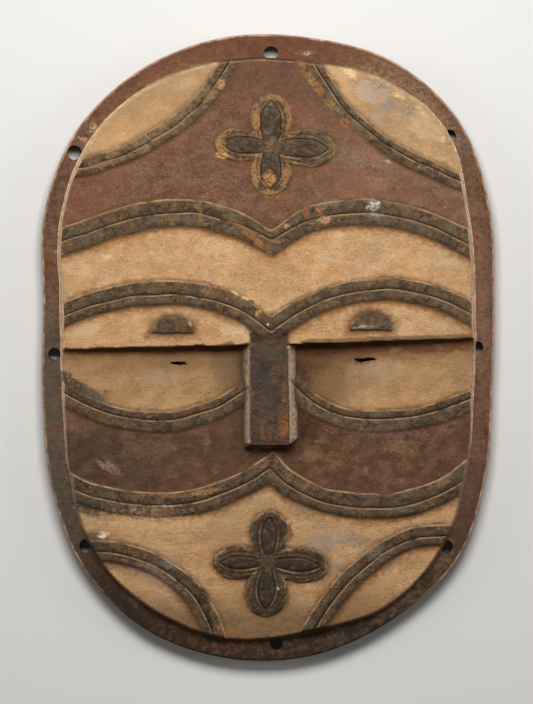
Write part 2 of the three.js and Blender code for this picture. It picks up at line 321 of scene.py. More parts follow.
def grooveOffset(pair, x, y):  # distance above a pair's groove line, and how far past its ends
    t = np.linspace(0, 1, ribs["lineParts"])[:, None]
    p0, p1, p2, p3 = (np.array(p, float) for p in pair[:4])
    line = (1 - t) ** 3 * p0 + 3 * (1 - t) ** 2 * t * p1 + 3 * (1 - t) * t * t * p2 + t**3 * p3
    heading = np.gradient(line, axis=0)
    heading /= np.linalg.norm(heading, axis=1)[:, None]
    best = np.full(x.shape, 1e9, np.float32)
    offset = np.zeros(x.shape, np.float32)
    for (px, py), (hx, hy) in zip(line, heading):
        dx, dy = x - px, y - py
        away = dx * dx + dy * dy
        closer = away < best
        best = np.where(closer, away, best)
        offset = np.where(closer, hx * dy - hy * dx, offset)
    before = (line[0, 0] - x) * heading[0, 0] + (line[0, 1] - y) * heading[0, 1]
    after = (x - line[-1, 0]) * heading[-1, 0] + (y - line[-1, 1]) * heading[-1, 1]
    return offset, np.maximum(before, after)


def ribSection(offset, upper, lower):  # share of the ribs' height across a pair
    aboveShare = np.interp(offset / upper, *zip(*ribs["sectionAbove"]))
    belowShare = np.interp(-offset / lower, *zip(*ribs["sectionBelow"]))
    return np.where(offset > 0, aboveShare, belowShare)


def turned(x, y, middle, degrees):  # x and y as seen from a middle, along an axis that is turned
    a = math.radians(degrees)
    x, y = x - middle[0], y - middle[1]
    return x * math.cos(a) + y * math.sin(a), y * math.cos(a) - x * math.sin(a)


def petalRelief(x, y, flower):  # height share, how far inside the petals, and beside their leaf lines
    middle, leafShare, leafTaper, petals = flower
    height = np.zeros(x.shape)
    inside, beside = np.full(x.shape, -far), np.full(x.shape, far)
    edge, widest = rosettes["edgeShare"], rosettes["leafWidest"]
    least, *lineStart = rosettes["lineStart"]
    lineWidth = rosettes["lineWidth"]
    aside, width, share = rosettes["secondLine"]
    for turn, out, halfLength, halfWidth in petals:
        u, v = turned(x, y, middle, turn)
        u = u - out
        reach = np.where(u < 0, halfLength + rosettes["innerReach"], halfLength)
        deep = (1 - np.hypot(u / reach, v / halfWidth)) * min(halfLength, halfWidth) * rosettes["fullness"]
        deep = deep + uneven("petal", x, y)
        form = edge + (1 - edge) * softStep(0, rosettes["edgeBand"], deep)
        tip = (u - widest) / np.where(u < widest, out + widest, rosettes["leafTip"] * halfLength)
        tip = np.clip(tip, -1, 1)
        leaf = leafShare * halfWidth * (1 - np.where(tip < 0, leafTaper, 1) * tip**2)  # its half width
        off = np.where((tip < 1) & (deep > least), np.abs(v) - leaf, rosettes["noLine"])
        lines = np.exp(-((off / lineWidth) ** 2)) + share * np.exp(-(((off - aside) / width) ** 2))
        lines = rosettes["grooveDepth"] / rosettes["height"] * lines * softStep(*lineStart, deep)
        height = np.maximum(height, softStep(*rosettes["edge"], deep) * form - lines)
        beside = np.where(deep > inside, off, beside)
        inside = np.maximum(inside, deep)
    heart = rosettes["heart"] - np.hypot(x - middle[0], y - middle[1])
    beside = np.where(heart > 0, rosettes["noLine"], beside)
    hub = rosettes["heartHeight"] * softStep(*rosettes["heartRise"], heart)
    height = roundedMax(height, hub, rosettes["heartRound"])
    steep, beyond = rosettes["heartPaint"]
    return height, np.maximum(inside, steep * (heart + beyond)), beside


def plateDome(x, y):  # 1 at the plate's middle, 0 at its edge
    x, y = np.abs(x / plate["halfWidth"]), np.abs(y / plate["halfLength"])
    return np.clip(1 - x ** plate["domePower"] - y ** plate["domePower"], 0, 1)


def between(ends, share):
    return ends[0] + (ends[1] - ends[0]) * share


def plateFace(x, y):  # the bare face, and how far above the ledge's line a place is
    dome = plateDome(x, y)
    down = np.clip(-y / plate["halfLength"], 0, 1)
    above = plate["edgeAboveLedge"] + (plate["edgeAtTop"] - plate["edgeAboveLedge"]) * y / plate["halfLength"]
    above = above + plate["riseAboveLedge"] * dome
    below = plate["edgeBelowLedge"] + (plate["edgeAtChin"] - plate["edgeBelowLedge"]) * down
    below = below + (plate["riseBelowLedge"] + plate["chinSwell"] * np.sin(math.pi * down)) * dome
    overLedge = y - ledge["middle"] - ledge["tilt"] * x - ledge["rightTilt"] * np.maximum(x, 0)
    overLedge = overLedge + uneven("ledge", x, y)
    face = below + (above - below) * softStep(*ledge["step"], overLedge)
    return face + uneven("face", x, y), overLedge


def ribForms(x, y):  # the ribs' relief, and for each place the distances to the ribs around it
    offsets, black = {}, np.full(x.shape, -far)
    relief, edgeAbove, groove = np.zeros(x.shape), np.zeros(x.shape), np.zeros(x.shape)
    own = 1 - np.exp(-(((x - ribs["middle"]) / ribs["mitreReach"]) ** 2))
    bands = {}
    for name, (bend, upper, lower, left, right) in ribs["joined"].items():
        meet = roundedMin if bend == "valley" else roundedMax
        offset = meet(grooveOffset(left, x, y)[0], grooveOffset(right, x, y)[0], ribs["mitreRound"])
        side = np.where(x < ribs["middle"], 0, 1)
        bands[name] = (offset, -far, between((upper, np.choose(side, (left[4], right[4]))), own),
                       between((lower, np.choose(side, (left[5], right[5]))), own))
    for name, pairs in ribs["apart"].items():
        for side, pair in zip(("left", "right"), pairs):
            bands[name + " " + side] = (*grooveOffset(pair, x, y), *pair[4:])
    for k, (name, (offset, past, upper, lower)) in enumerate(bands.items()):
        offsets[name] = offset
        wander, cell, seed = ribs["widthWander"]
        across = offset + wander * softNoise(x, y, cell, cell, seed + k)
        wander, cell, seed = ribs["heightWander"]
        height = ribs["height"] * (1 + wander * (softNoise(x, y, cell, cell, seed + k) - 1))
        ends = softStep(ribs["endFade"], -ribs["endFade"], past)
        relief = np.maximum(relief, height * ribSection(across, upper, lower) * ends)
        within = np.minimum(np.minimum(upper - across, lower + across), -past)
        nearest = within > black
        edgeAbove = np.where(nearest, upper - across, edgeAbove)
        groove = np.where(nearest, across, groove)
        black = np.maximum(black, within)
    return relief, black, groove, edgeAbove, offsets


def addOrnaments(x, y, relief, black, groove):  # pupils and rosettes
    petal, leaf = np.full(x.shape, -far), np.full(x.shape, far)
    for (cx, cy), halfWidth, discHeight in pupils["discs"]:
        reach = (1 - np.hypot((x - cx) / halfWidth, (y - cy) / discHeight)) * discHeight
        disc = np.minimum(reach, y - cy + pupils["below"]) + uneven("pupil", x, y)
        relief = np.maximum(relief, pupils["height"] * softStep(*pupils["edge"], disc))
        groove = np.where(disc > black, pupils["asGroove"], groove)
        black = np.maximum(black, disc)
    for flower in rosettes["flowers"]:
        share, inside, beside = petalRelief(x, y, flower)
        relief = np.maximum(relief, rosettes["height"] * share)
        leaf = np.where(inside > petal, beside, leaf)
        petal = np.maximum(petal, inside)
    groove = np.where(petal > black, rosettes["asGroove"], groove)
    return relief, np.maximum(black, petal), groove, petal, leaf


def addNose(x, y, face):  # also how high a place is on the nose, and how far inside its painted front
    along = np.clip(-y / -nose["bottom"], 0, 1)
    level, right, rightFoot = (between(nose[key], along) for key in ("level", "frontRight", "footRight"))
    drop = level - nose["footLevel"]
    bar = level
    for fall in ((x - nose["frontLeft"]) * drop / (nose["frontLeft"] - nose["footLeft"]),
                 (right - x) * drop / (rightFoot - right),
                 (y - nose["bottom"]) * nose["tipSlope"],
                 (nose["chip"] - (x - y)) * nose["chipSlope"]):
        bar = roundedMin(bar, level + fall, nose["edgeRound"])
    bar = bar + uneven("nose", x, y) - nose["topDrop"] * softStep(*nose["topFade"], y)
    onNose = np.where(y < nose["topFade"][1], bar - face, -far)
    face = np.where(y < nose["topFade"][1], roundedMax(face, bar, nose["footRound"]), face)
    front = np.minimum(x - nose["frontLeft"], right - x)
    for edge in (y - nose["bottom"] - nose["paintTip"], nose["paintTop"] - y,
                 nose["chipAcross"] * (nose["chip"] - x + y)):
        front = np.minimum(front, edge)
    return face, onNose, front


def carve(x, y):  # the whole front as heights, with the distances that the paint follows
    face, overLedge = plateFace(x, y)
    relief, black, groove, edgeAbove, offsets = ribForms(x, y)
    relief, black, groove, petal, leaf = addOrnaments(x, y, relief, black, groove)
    above, below, aside = nose["plain"]
    plain = softStep(*above, y) * softStep(*below, y) * softStep(*aside, np.abs(x - ribs["middle"]))
    face, onNose, front = addNose(x, y, face + relief * (1 - plain))

    # plate's side and the rim
    outer = insetFrom(rimLoop, x, y)
    inner = insetFrom(plateLoop, x, y) + uneven("plateEdge", x, y)
    side = plate["foot"] + inner / plate["sideSlope"]
    plateTop = roundedMin(face, side, plate["edgeRound"])
    edge = np.clip(1 - outer / rim["edgeRound"], 0, 1)
    flat = rim["thickness"] - rim["edgeRound"] * (1 - np.sqrt(np.clip(1 - edge**2, 0, 1)))
    flat = flat + uneven("rim", x, y)
    height = np.maximum(flat, plateTop)

    # where the earth colours lie
    leftHalf = x < ribs["middle"]
    belowEye = -np.where(leftHalf, offsets["under eye left"], offsets["under eye right"])
    forehead = np.minimum(np.minimum(offsets["brow"], -offsets["temple left"]), -offsets["temple right"])
    red = np.maximum(forehead, np.minimum(belowEye, offsets["mouth"]))
    return {
        "height": height,
        "black": np.minimum(black, np.clip(inner * plate["paintEdge"], -9, 9)),
        "edgeAbove": edgeAbove,
        "groove": groove,
        "petal": petal,
        "leaf": leaf,
        "red": red,
        "rim": -inner,
        "wall": np.clip(face - height, -1, 9),
        "front": front,
        "nose": onNose,
        "ledge": overLedge,
        "outer": outer,
    }


noMark = -4.0  # depth outside all marks of age
firmMark = 0.2  # depth from which a later mark covers an earlier one

# Marks of age, chips, scratches and stains: x, y, half width, half height, turn, softness, colour and cover
marks = {
    "forehead": [
        (-18, 113.5, 7, 3, 0, 1, "#40372c", 0.7), (-6.3, 127, 1.8, 7, 0, 0.7, "#ad7448", 0.75),
        (11.8, 127, 1.8, 8, 0, 0.8, "#9a7048", 0.65), (2, 138.5, 6, 1.8, 0, 0.8, "#8f6d49", 0.55),
        (-25.5, 112, 2.2, 6, 0, 0.8, "#a3754a", 0.7), (-6.8, 95, 2.2, 6, 10, 0.8, "#a5774b", 0.7),
        (9.8, 95, 2, 6, -10, 0.8, "#a07349", 0.7), (1.5, 85.2, 6, 2, 0, 0.8, "#a9794b", 0.7),
        (58.6, 79.3, 3.8, 2.6, 0, 1.5, "#c9c2b2", 0.8), (58.6, 73.5, 3.8, 2, 0, 1.4, "#99948a", 0.6),
        (21.2, 75.1, 2.2, 3.2, 10, 0.5, "#995937", 0.75), (28.5, 76.6, 2.4, 1.7, 0, 0.7, "#b5744c", 0.75),
        (31.4, 70.6, 3.8, 2.4, 10, 0.6, "#b48a68", 0.75), (19.9, 70.8, 1.5, 1.5, 0, 0.4, "#33201a", 0.8),
        (10.9, 67, 1.7, 1.7, 0, 0.5, "#ad8b64", 0.85), (34, 80, 5, 1.8, 12, 1, "#8d7460", 0.6),
        (-57.5, 83.6, 1.1, 0.9, 0, 0.3, "#1d120c", 0.9), (86.5, 77.9, 1.1, 0.9, 0, 0.3, "#1d120c", 0.9),
        (-37.4, 75, 1.5, 5.5, 0, 0.8, "#8f6f49", 0.55), (-25.7, 79, 3.4, 2.8, -20, 0.8, "#8a6d49", 0.6),
        (-18.4, 69.3, 6.5, 1.7, -28, 0.6, "#7f5d3a", 0.8), (-9.6, 62.4, 6, 2.3, -40, 0.6, "#8c5b33", 0.85),
        (-5, 57.6, 3, 2.4, -40, 0.5, "#a06e3e", 0.8), (-8, 51.6, 3, 0.9, -45, 0.5, "#33281c", 0.7),
        (3.9, 145.4, 2.2, 5.2, 0, 1.5, "#4b3326", 0.5), (-25.7, 146.5, 1.9, 3, -15, 0.5, "#bb894f", 0.85),
        (-32.6, 140, 2.2, 5, -38, 0.8, "#8d7149", 0.6), (0.8, 93.5, 3.6, 4.4, 0, 0.8, "#a97a4b", 0.85),
        (-25.9, 106.6, 3.8, 1.8, -8, 0.5, "#c39458", 0.85), (-82, 89, 18, 6, 5, 5, "#7d5c4b", 0.35),
        (52, 104, 14, 6, -10, 4, "#8a7360", 0.45), (62, 92, 8, 4, 0, 2.5, "#94704f", 0.5),
        (18.8, 157, 2.2, 4.5, 18, 1, "#93713f", 0.75), (24, 149.5, 2.2, 5, 34, 1, "#a57c48", 0.75),
        (28.5, 143, 2, 3.4, 34, 1, "#a8703f", 0.7), (34.6, 135.2, 2.1, 5.4, 40, 1, "#9c7a46", 0.75),
        (43.4, 124.7, 2, 4.6, 42, 1, "#a5683a", 0.7), (51.5, 116.6, 1.8, 4, 48, 1, "#8d6a40", 0.65),
        (60, 110, 1.8, 4.5, 54, 1.2, "#8a5a34", 0.55), (66.5, 103.2, 2.6, 1, -24, 0.4, "#c3a377", 0.8),
        (-93.8, 101.6, 7.5, 1.7, 12, 0.7, "#8e684b", 0.75), (-80, 105.6, 6, 1.5, 20, 0.7, "#86644a", 0.7),
        (-69, 109, 4, 1.2, 24, 0.6, "#9a7d58", 0.6),
    ],
    "temple": [
        (-62, 133, 34, 14, 38, 6, "#9c7c55", 0.5), (76, 132, 38, 16, -42, 6, "#927d5d", 0.55),
        (58.5, 142.5, 11, 8, -12, 4, "#a0998c", 0.7), (62, 146.5, 6.5, 3, -14, 1.8, "#77726e", 0.85),
        (67.3, 134.2, 3.6, 4.4, 0, 1.8, "#807a72", 0.8), (60.5, 128.5, 3.4, 4.5, 0, 2, "#97907f", 0.7),
        (79.4, 131.2, 5.4, 2.6, 8, 1.8, "#77726b", 0.85), (62.8, 139.4, 2.4, 1.5, 0, 1, "#c78c5f", 0.7),
        (73, 140.6, 5, 1.8, -30, 1.2, "#dcb887", 0.75), (86, 130, 2.4, 6, 32, 1.6, "#d9bb8d", 0.6),
        (97, 117, 2, 4, 20, 1, "#dabd94", 0.6), (88, 122, 10, 7, -30, 4, "#b7a687", 0.5),
        (47, 152.5, 5, 3, -25, 1.5, "#e0c090", 0.8), (54.5, 150.6, 5, 2, -18, 1.2, "#ae7a50", 0.55),
        (101.3, 113.4, 2.4, 0.8, 0, 0.4, "#6f4a2c", 0.7), (-81.3, 126.8, 1.8, 1.6, 0, 0.5, "#e4bd8c", 0.8),
        (-85.1, 124.4, 1.9, 1.5, 0, 0.5, "#e9c89e", 0.8), (-86, 121, 13, 7, 35, 5, "#c08f5c", 0.4),
        (-45, 147, 8, 4, 20, 3, "#c7a781", 0.35),
    ],
    "brow": [
        (1, 38, 20, 13, 0, 5, "#9d7a53", 0.6), (-66, 47, 36, 8, 3, 4, "#a5835a", 0.35),
        (-1.5, 48, 5, 3.4, 0, 1.4, "#8f6d48", 0.55), (0.3, 47.7, 2, 7, 0, 1.2, "#a8704a", 0.5),
        (-89.9, 50, 5, 2, 0, 1, "#dcc196", 0.6), (-64.4, 52.4, 6.5, 0.8, 6, 0.5, "#dabb90", 0.7),
        (-103, 43, 9, 4.5, 0, 3, "#cfb48c", 0.4), (49.7, 56.7, 9, 3.6, -10, 2.4, "#94794f", 0.5),
        (57.6, 48.8, 3, 2, 0, 1.2, "#8f7348", 0.5), (34.6, 48.8, 4.4, 2.6, 0, 1.5, "#b8a88f", 0.45),
        (80.4, 46.4, 2.6, 3.8, 20, 1.2, "#d2935f", 0.6), (97, 47.4, 7, 2.6, 0, 1.8, "#cdbd9c", 0.45),
        (-98, 35.4, 5.5, 2.4, 15, 1.6, "#a37b4d", 0.45), (-32.9, 35.6, 4.2, 0.8, -18, 0.4, "#3d281a", 0.9),
        (-17.9, 30, 2.8, 0.8, -25, 0.4, "#d6b688", 0.85), (-12.8, 27.4, 2.2, 0.9, -30, 0.4, "#d3b384", 0.8),
        (-9.4, 25.2, 2, 0.8, -35, 0.4, "#2a1f15", 0.8), (-5.3, 18.8, 2.3, 1.5, 45, 0.4, "#c0914f", 0.9),
        (0, 12.8, 1.1, 0.9, 0, 0.3, "#d9bf96", 0.9), (26, 31, 9, 0.7, 26, 0.4, "#7a5a38", 0.7),
        (40, 35.6, 7, 0.7, 12, 0.4, "#7a5a38", 0.7), (78, 35.4, 7, 0.7, -8, 0.4, "#7f5e3b", 0.6),
        (-66, 37.2, 12, 0.9, 5, 0.6, "#9a724a", 0.5),
    ],
    "eyes": [
        (-19.2, 9.4, 7, 2.6, 0, 1.2, "#cbb094", 0.6), (-103, 9, 6, 3.4, 0, 1.6, "#cdb592", 0.5),
        (52.9, 11.3, 6.2, 0.7, 2, 0.4, "#b39a74", 0.8), (-43.3, 13.3, 1, 1.6, 20, 0.4, "#b5977a", 0.8),
        (46.6, 13.6, 1.6, 1, 40, 0.4, "#8d7a5e", 0.7), (-62.8, 11.4, 1, 2.4, -30, 0.6, "#8c7a63", 0.6),
        (50.5, 7, 9, 1.3, 0, 0.8, "#8a6a42", 0.55), (71.5, 10.8, 3, 2, 0, 1.2, "#9d8058", 0.6),
        (50.8, -1.6, 4.4, 1.9, 0, 0.7, "#71331b", 0.8), (87.6, -1.6, 20, 1.4, 2, 0.8, "#5e3422", 0.6),
        (27.9, -3, 8, 2.6, 0, 1.4, "#4a2c19", 0.6), (50, -6.4, 10.5, 3, 0, 1.3, "#6b4c2e", 0.65),
        (50.6, -7.4, 3.4, 1.5, 4, 0.4, "#23150d", 0.9), (57.8, -6, 2.6, 0.9, -6, 0.3, "#2f1d12", 0.8),
        (-50.5, -8.6, 9, 2.6, 0, 1.2, "#7b6242", 0.6), (-47.6, -9.2, 2.4, 1.5, -8, 0.4, "#2c1d12", 0.85),
        (-42.1, -18.2, 4.6, 0.8, 24, 0.4, "#62482d", 0.8), (-29.5, -9.2, 4.5, 0.7, 22, 0.4, "#6d5235", 0.7),
        (-24.5, -12, 6, 8, 0, 3, "#7a5f41", 0.45), (-62, -17, 10, 4, 0, 3, "#9c9080", 0.4),
        (62, -13, 13, 4.4, 0, 3, "#a3957b", 0.45), (90, -14, 12, 5, 20, 3, "#b3925f", 0.4),
        (32, -22, 10, 7, -30, 3.5, "#8a6238", 0.45), (-112.8, -16.4, 4.2, 3.4, -35, 0.8, "#4a3f2e", 0.85),
        (-106.6, -21, 6, 2.8, -35, 0.8, "#48402f", 0.85), (-95, -28, 7, 2.1, -27, 0.8, "#4d4434", 0.8),
        (-88.6, -24.8, 4.4, 0.8, -15, 0.4, "#4b3b28", 0.8), (107, -18, 7, 3.2, 35, 1.5, "#7d6142", 0.6),
    ],
    "nose": [
        (9.2, -31, 1.6, 9, 0, 0.8, "#7f4e2a", 0.85), (8.2, -45.4, 2.6, 6.6, 0, 1, "#8a5226", 0.9),
        (6.2, -38, 1.2, 8, 3, 0.7, "#6b3f26", 0.75), (0.6, -47, 1, 4.6, 0, 0.7, "#6e4526", 0.7),
        (-3.3, -47.2, 1.1, 4.6, 0, 0.8, "#7b5230", 0.75), (3.4, -50.8, 7, 1.2, 0, 0.8, "#734622", 0.75),
        (10.5, -44, 0.8, 7, 0, 0.5, "#a0652f", 0.6), (6.5, -49, 0.8, 4, 0, 0.5, "#8f5526", 0.6),
        (-9.5, -24, 0.8, 12, 0, 0.5, "#74402f", 0.7), (9.9, -13.7, 1.2, 9, 2, 0.7, "#6b3f34", 0.65),
        (11.9, 0.2, 1.6, 0.9, 0, 0.3, "#b89c70", 0.85), (-4, -14, 6, 9, 0, 3, "#35302f", 0.55),
        (2, -4, 8, 4, 0, 3, "#4a4436", 0.5), (1, -26, 5, 9, 0, 3, "#4a3f38", 0.5),
        (-9, -12, 1.2, 7, 0, 0.5, "#3b3745", 0.5), (0, -55.5, 4, 1, 0, 0.4, "#8c5f30", 0.7),
        (-6.8, -56.6, 2.2, 1.1, -30, 0.4, "#95683a", 0.8),
    ],
    "cheeks": [
        (-88.8, -66.3, 5.8, 2.9, -25, 1, "#9b7b62", 0.7), (-84, -69, 3, 2, -20, 0.8, "#8c6c52", 0.6),
        (77.6, -50.5, 1, 0.9, 0, 0.3, "#1a110c", 0.9), (68.1, -51.1, 1.2, 0.8, 0, 0.3, "#241811", 0.8),
        (101.6, -44.4, 1.9, 0.9, 10, 0.4, "#1f1610", 0.85), (-48, -52.2, 1.4, 0.9, 0, 0.3, "#1d130e", 0.85),
        (30.2, -52.3, 4, 1.1, 0, 0.6, "#8c7a67", 0.6), (34.6, -61, 12, 3, 0, 2, "#87683f", 0.45),
        (75.9, -55.5, 10, 3.6, 5, 2, "#8a6f4e", 0.45), (64, -47, 14, 3, 0, 2.5, "#7a6356", 0.5),
        (-66, -56, 15, 6, 0, 4, "#765a3b", 0.4), (-34, -52, 3, 2.6, 0, 1.2, "#8d6c58", 0.5),
        (-104, -45, 7, 3, -30, 2, "#6d573f", 0.5), (-30, -70, 2, 3, 0, 1, "#8a5640", 0.4),
        (-35.2, -80.4, 9.5, 1.6, 10, 0.5, "#a97c50", 0.8), (-55, -82.4, 9, 1, -2, 0.5, "#a3764a", 0.6),
        (98, -75, 6.5, 2.2, 25, 0.8, "#8a6c50", 0.65), (-58, -91.6, 8, 1.6, 0, 0.6, "#8f6039", 0.7),
    ],
    "chin": [
        (-91.8, -104.6, 2.8, 1.6, 20, 0.4, "#e9d8b3", 0.95),
        (-96, -103.2, 2.4, 0.7, -30, 0.3, "#4a3726", 0.85), (-66, -97, 26, 6, -3, 5, "#d6b384", 0.5),
        (-47, -103, 13, 1.1, 0, 0.6, "#8f7455", 0.55), (-38, -105, 7, 2.2, 0, 1.2, "#867052", 0.5),
        (-64, -128, 12, 6, -30, 4, "#a4927c", 0.35), (-11.7, -110.8, 2.1, 2, 0, 0.4, "#5e4027", 0.85),
        (12.3, -101.3, 1.3, 5.4, 0, 0.5, "#4f3825", 0.75),
        (14.6, -104.5, 2.4, 0.9, -40, 0.4, "#4a3422", 0.8), (5.6, -134.2, 1, 0.9, 0, 0.3, "#cdc4b2", 0.85),
        (19, -91.8, 10, 4.6, -35, 2, "#786750", 0.6), (27, -97, 7, 3.4, -20, 2, "#84735c", 0.5),
        (46.9, -107, 9, 5, 0, 2.4, "#85776a", 0.7), (60, -114, 7, 3.6, 0, 2, "#8d7d6b", 0.6),
        (33, -108, 9, 5.4, 0, 2.6, "#93877f", 0.65), (38, -121, 6, 4, 30, 2, "#8f8174", 0.55),
        (-25, -101, 8, 3, 10, 2, "#a8906f", 0.5), (80.4, -131, 0.8, 3.2, 0, 0.3, "#d1ae84", 0.85),
        (77, -129.4, 1.2, 2.6, 20, 0.6, "#ad7a4f", 0.7), (71.4, -124.5, 0.8, 3.2, -5, 0.3, "#d6b48c", 0.8),
        (84.5, -123, 1.3, 2.6, -35, 0.5, "#b5945c", 0.6), (-36, -139, 3, 4.4, -25, 0.8, "#221a13", 0.75),
        (-32.6, -151, 2.4, 6, 8, 0.8, "#241b13", 0.7), (62, -133, 10, 4, 35, 3, "#b9895c", 0.4),
        (-55, -120, 7, 3, 0, 1.8, "#8f877c", 0.5), (-31, -145, 0.9, 7, 6, 0.5, "#8c7b45", 0.7),
        (-27.6, -149, 0.8, 6, 4, 0.4, "#97854c", 0.65), (-41, -131, 1, 4, -30, 0.6, "#83693c", 0.6),
        (-24, -158.5, 4, 1.2, 0, 0.6, "#8f6240", 0.5), (34, -131, 0.8, 6, -28, 0.5, "#a1793f", 0.65),
    ],
    "rim": [
        (-121.5, -38, 5, 46, 4, 3, "#4f4838", 0.6), (-84, -142, 24, 7, -46, 3, "#2a1f15", 0.7),
        (117, 30, 5, 60, 2, 3, "#8a6a52", 0.35), (0, 169, 40, 4, 0, 3, "#5a3a28", 0.4),
        (-98, 122.3, 3.4, 1.7, 25, 0.5, "#b09a72", 0.85), (-103.8, 115.4, 1.8, 2.2, 30, 0.5, "#a8936c", 0.8),
        (-95, 126, 2, 1.6, 30, 0.5, "#9b855f", 0.7), (21.8, 163.3, 1.5, 1.1, 0, 0.4, "#cdb597", 0.85),
        (-118, 54, 0.9, 0.9, 0, 0.3, "#a8967c", 0.8), (-114.5, 52, 0.9, 0.8, 0, 0.3, "#a08c70", 0.7),
        (98, 78, 0.9, 0.9, 0, 0.3, "#c5a183", 0.5), (-74, -141, 6, 3, -45, 2, "#6a5a46", 0.5),
        (75, -140, 16, 4, 38, 3, "#6f5a43", 0.55), (98, -118, 4, 12, -25, 3, "#7a5f45", 0.5),
        (40, -163, 14, 3, 12, 2, "#57463a", 0.5), (-20, -167, 16, 2, -2, 2, "#6b3f22", 0.5),
        (113, -70, 4, 18, -10, 2, "#6b4a3c", 0.4),
    ],
}


def boxBlur(field, cells, times):
    for axis in (0, 1) * times:
        padded = np.concatenate([np.repeat(np.take(field, [0], axis), cells + 1, axis), field,
                                 np.repeat(np.take(field, [-1], axis), cells, axis)], axis)
        total = np.cumsum(padded, axis)
        count = field.shape[axis]
        field = (np.take(total, np.arange(2 * cells + 1, 2 * cells + 1 + count), axis)
                 - np.take(total, np.arange(count), axis)) / (2 * cells + 1)
    return field


def sampleAt(grid, field, x, y):  # a field of the grid, read between its nodes
    u = np.clip((x - grid["x"][0]) / grid["step"], 0, len(grid["x"]) - 1.001)
    v = np.clip((y - grid["y"][0]) / grid["step"], 0, len(grid["y"]) - 1.001)
    i, j = u.astype(int), v.astype(int)
    u, v = u - i, v - j
    below, above = (field[row, i] * (1 - u) + field[row, i + 1] * u for row in (j, j + 1))
    return below * (1 - v) + above * v


def makeGrid(step):
    grid = {"step": step}
    for axis, size in zip("xy", maskHigh - maskLow):
        count = math.ceil((size / mm / 2 + meshing["margin"]) / step)
        grid[axis] = np.arange(-count, count + 1) * step
    return grid


def placed(name, data):
    obj = bpy.data.objects.new(name, data)
    bpy.context.scene.collection.objects.link(obj)
    return obj


def meshObject(name, bm):
    mesh = bpy.data.meshes.new(name)
    bm.to_mesh(mesh)
    bm.free()
    return placed(name, mesh)


def vertsOf(geometry):
    return [v for v in geometry if isinstance(v, bmesh.types.BMVert)]


def heightBlock(name, grid, field, bottom):  # a block with a carved top and a flat bottom
    bm = bmesh.new()
    bmesh.ops.create_grid(bm, x_segments=len(grid["x"]) - 1, y_segments=len(grid["y"]) - 1, size=1)
    bmesh.ops.scale(bm, vec=(grid["x"][-1], grid["y"][-1], 1), verts=bm.verts)
    rimEdges = [e for e in bm.edges if e.is_boundary]
    skirt = bmesh.ops.extrude_edge_only(bm, edges=rimEdges)["geom"]
    bmesh.ops.translate(bm, vec=(0, 0, bottom), verts=vertsOf(skirt))
    bmesh.ops.contextual_create(bm, geom=[e for e in skirt if isinstance(e, bmesh.types.BMEdge)])
    bmesh.ops.recalc_face_normals(bm, faces=bm.faces)
    obj = meshObject(name, bm)
    spots = readVectors(obj.data.vertices, "co")
    top = spots[:, 2] > bottom / 2
    spots[top, 2] = sampleAt(grid, field, spots[top, 0], spots[top, 1])
    obj.data.vertices.foreach_set("co", (spots * mm).ravel())
    obj.data.update()
    return obj


def readVectors(items, key):
    values = np.empty(len(items) * 3, np.float32)
    items.foreach_get(key, values)
    return values.reshape(-1, 3).astype(float)


def outlineBlock(name, loop, low, high, bevel=0):  # an upright block over an outline
    bm = bmesh.new()
    disc = bmesh.ops.create_circle(bm, cap_ends=True, segments=len(loop), radius=1)["verts"]
    turn = ordered(np.arctan2([v.co.y for v in disc], [v.co.x for v in disc]), np.arange(len(disc)))[1]
    start = ordered(np.arctan2(loop[:, 1], loop[:, 0]), np.arange(len(loop)))[1]
    for vert, place in zip(turn, start):
        disc[vert].co = (*(loop[place] * mm), low * mm)
    body = bmesh.ops.extrude_face_region(bm, geom=list(bm.faces))["geom"]
    bmesh.ops.translate(bm, vec=(0, 0, (high - low) * mm), verts=vertsOf(body))
    if bevel:
        halfway = (low + high) / 2 * mm
        lowEdges = [e for e in bm.edges if all(v.co.z < halfway for v in e.verts)]
        bmesh.ops.bevel(bm, geom=lowEdges, offset=bevel * mm, segments=3, profile=0.5, affect="EDGES",
                        material=-1)
    bmesh.ops.recalc_face_normals(bm, faces=bm.faces)
    return meshObject(name, bm)


def tieHoleCutters():
    bm = bmesh.new()
    most, change = tieHoles["lean"]
    for k, (x, y, halfWidth, halfHeight) in enumerate(tieHoles["places"]):
        lean = Matrix.Rotation(math.radians(most * math.sin(change * k)), 4, "X")
        size = Matrix.Diagonal((halfWidth * mm, halfHeight * mm, 1, 1))
        shape = Matrix.Translation((x * mm, y * mm, 0)) @ lean @ size
        bmesh.ops.create_cone(bm, cap_ends=True, segments=tieHoles["sides"], radius1=1, radius2=1,
                              depth=tieHoles["depth"] * mm, matrix=shape)
    return meshObject("tieHoleCutters", bm)


def slitCutters():
    bm = bmesh.new()
    for x, y, width, height, turn in slits["cuts"]:
        place = Matrix.Translation((x * mm, y * mm, slits["level"] * mm)) @ Matrix.Rotation(turn, 4, "Z")
        size = Matrix.Diagonal((width * mm, height * mm, slits["depth"] * mm, 1))
        made = bmesh.ops.create_cube(bm, size=1, matrix=place @ size)["verts"]
        edges = {e for v in made for e in v.link_edges}
        bmesh.ops.subdivide_edges(bm, edges=list(edges), cuts=slits["parts"], use_grid_fill=True)
    for v in bm.verts:  # ragged knife cuts, narrower towards their ends
        x, y = v.co.x / mm, v.co.y / mm
        near = min(slits["cuts"], key=lambda s: abs(s[0] - x))
        away = (x - near[0]) / (near[2] / 2)
        ragged = sum(height * math.sin(rate * x + start) for height, rate, start in slits["ragged"])
        v.co.y = (near[1] + (y - near[1]) * (1 - slits["narrowing"] * away**2) + ragged) * mm
    return meshObject("slitCutters", bm)


def cut(obj, operation, tool):
    step = obj.modifiers.new(operation, "BOOLEAN")
    step.operation = operation
    step.object = tool
    step.solver = "MANIFOLD"


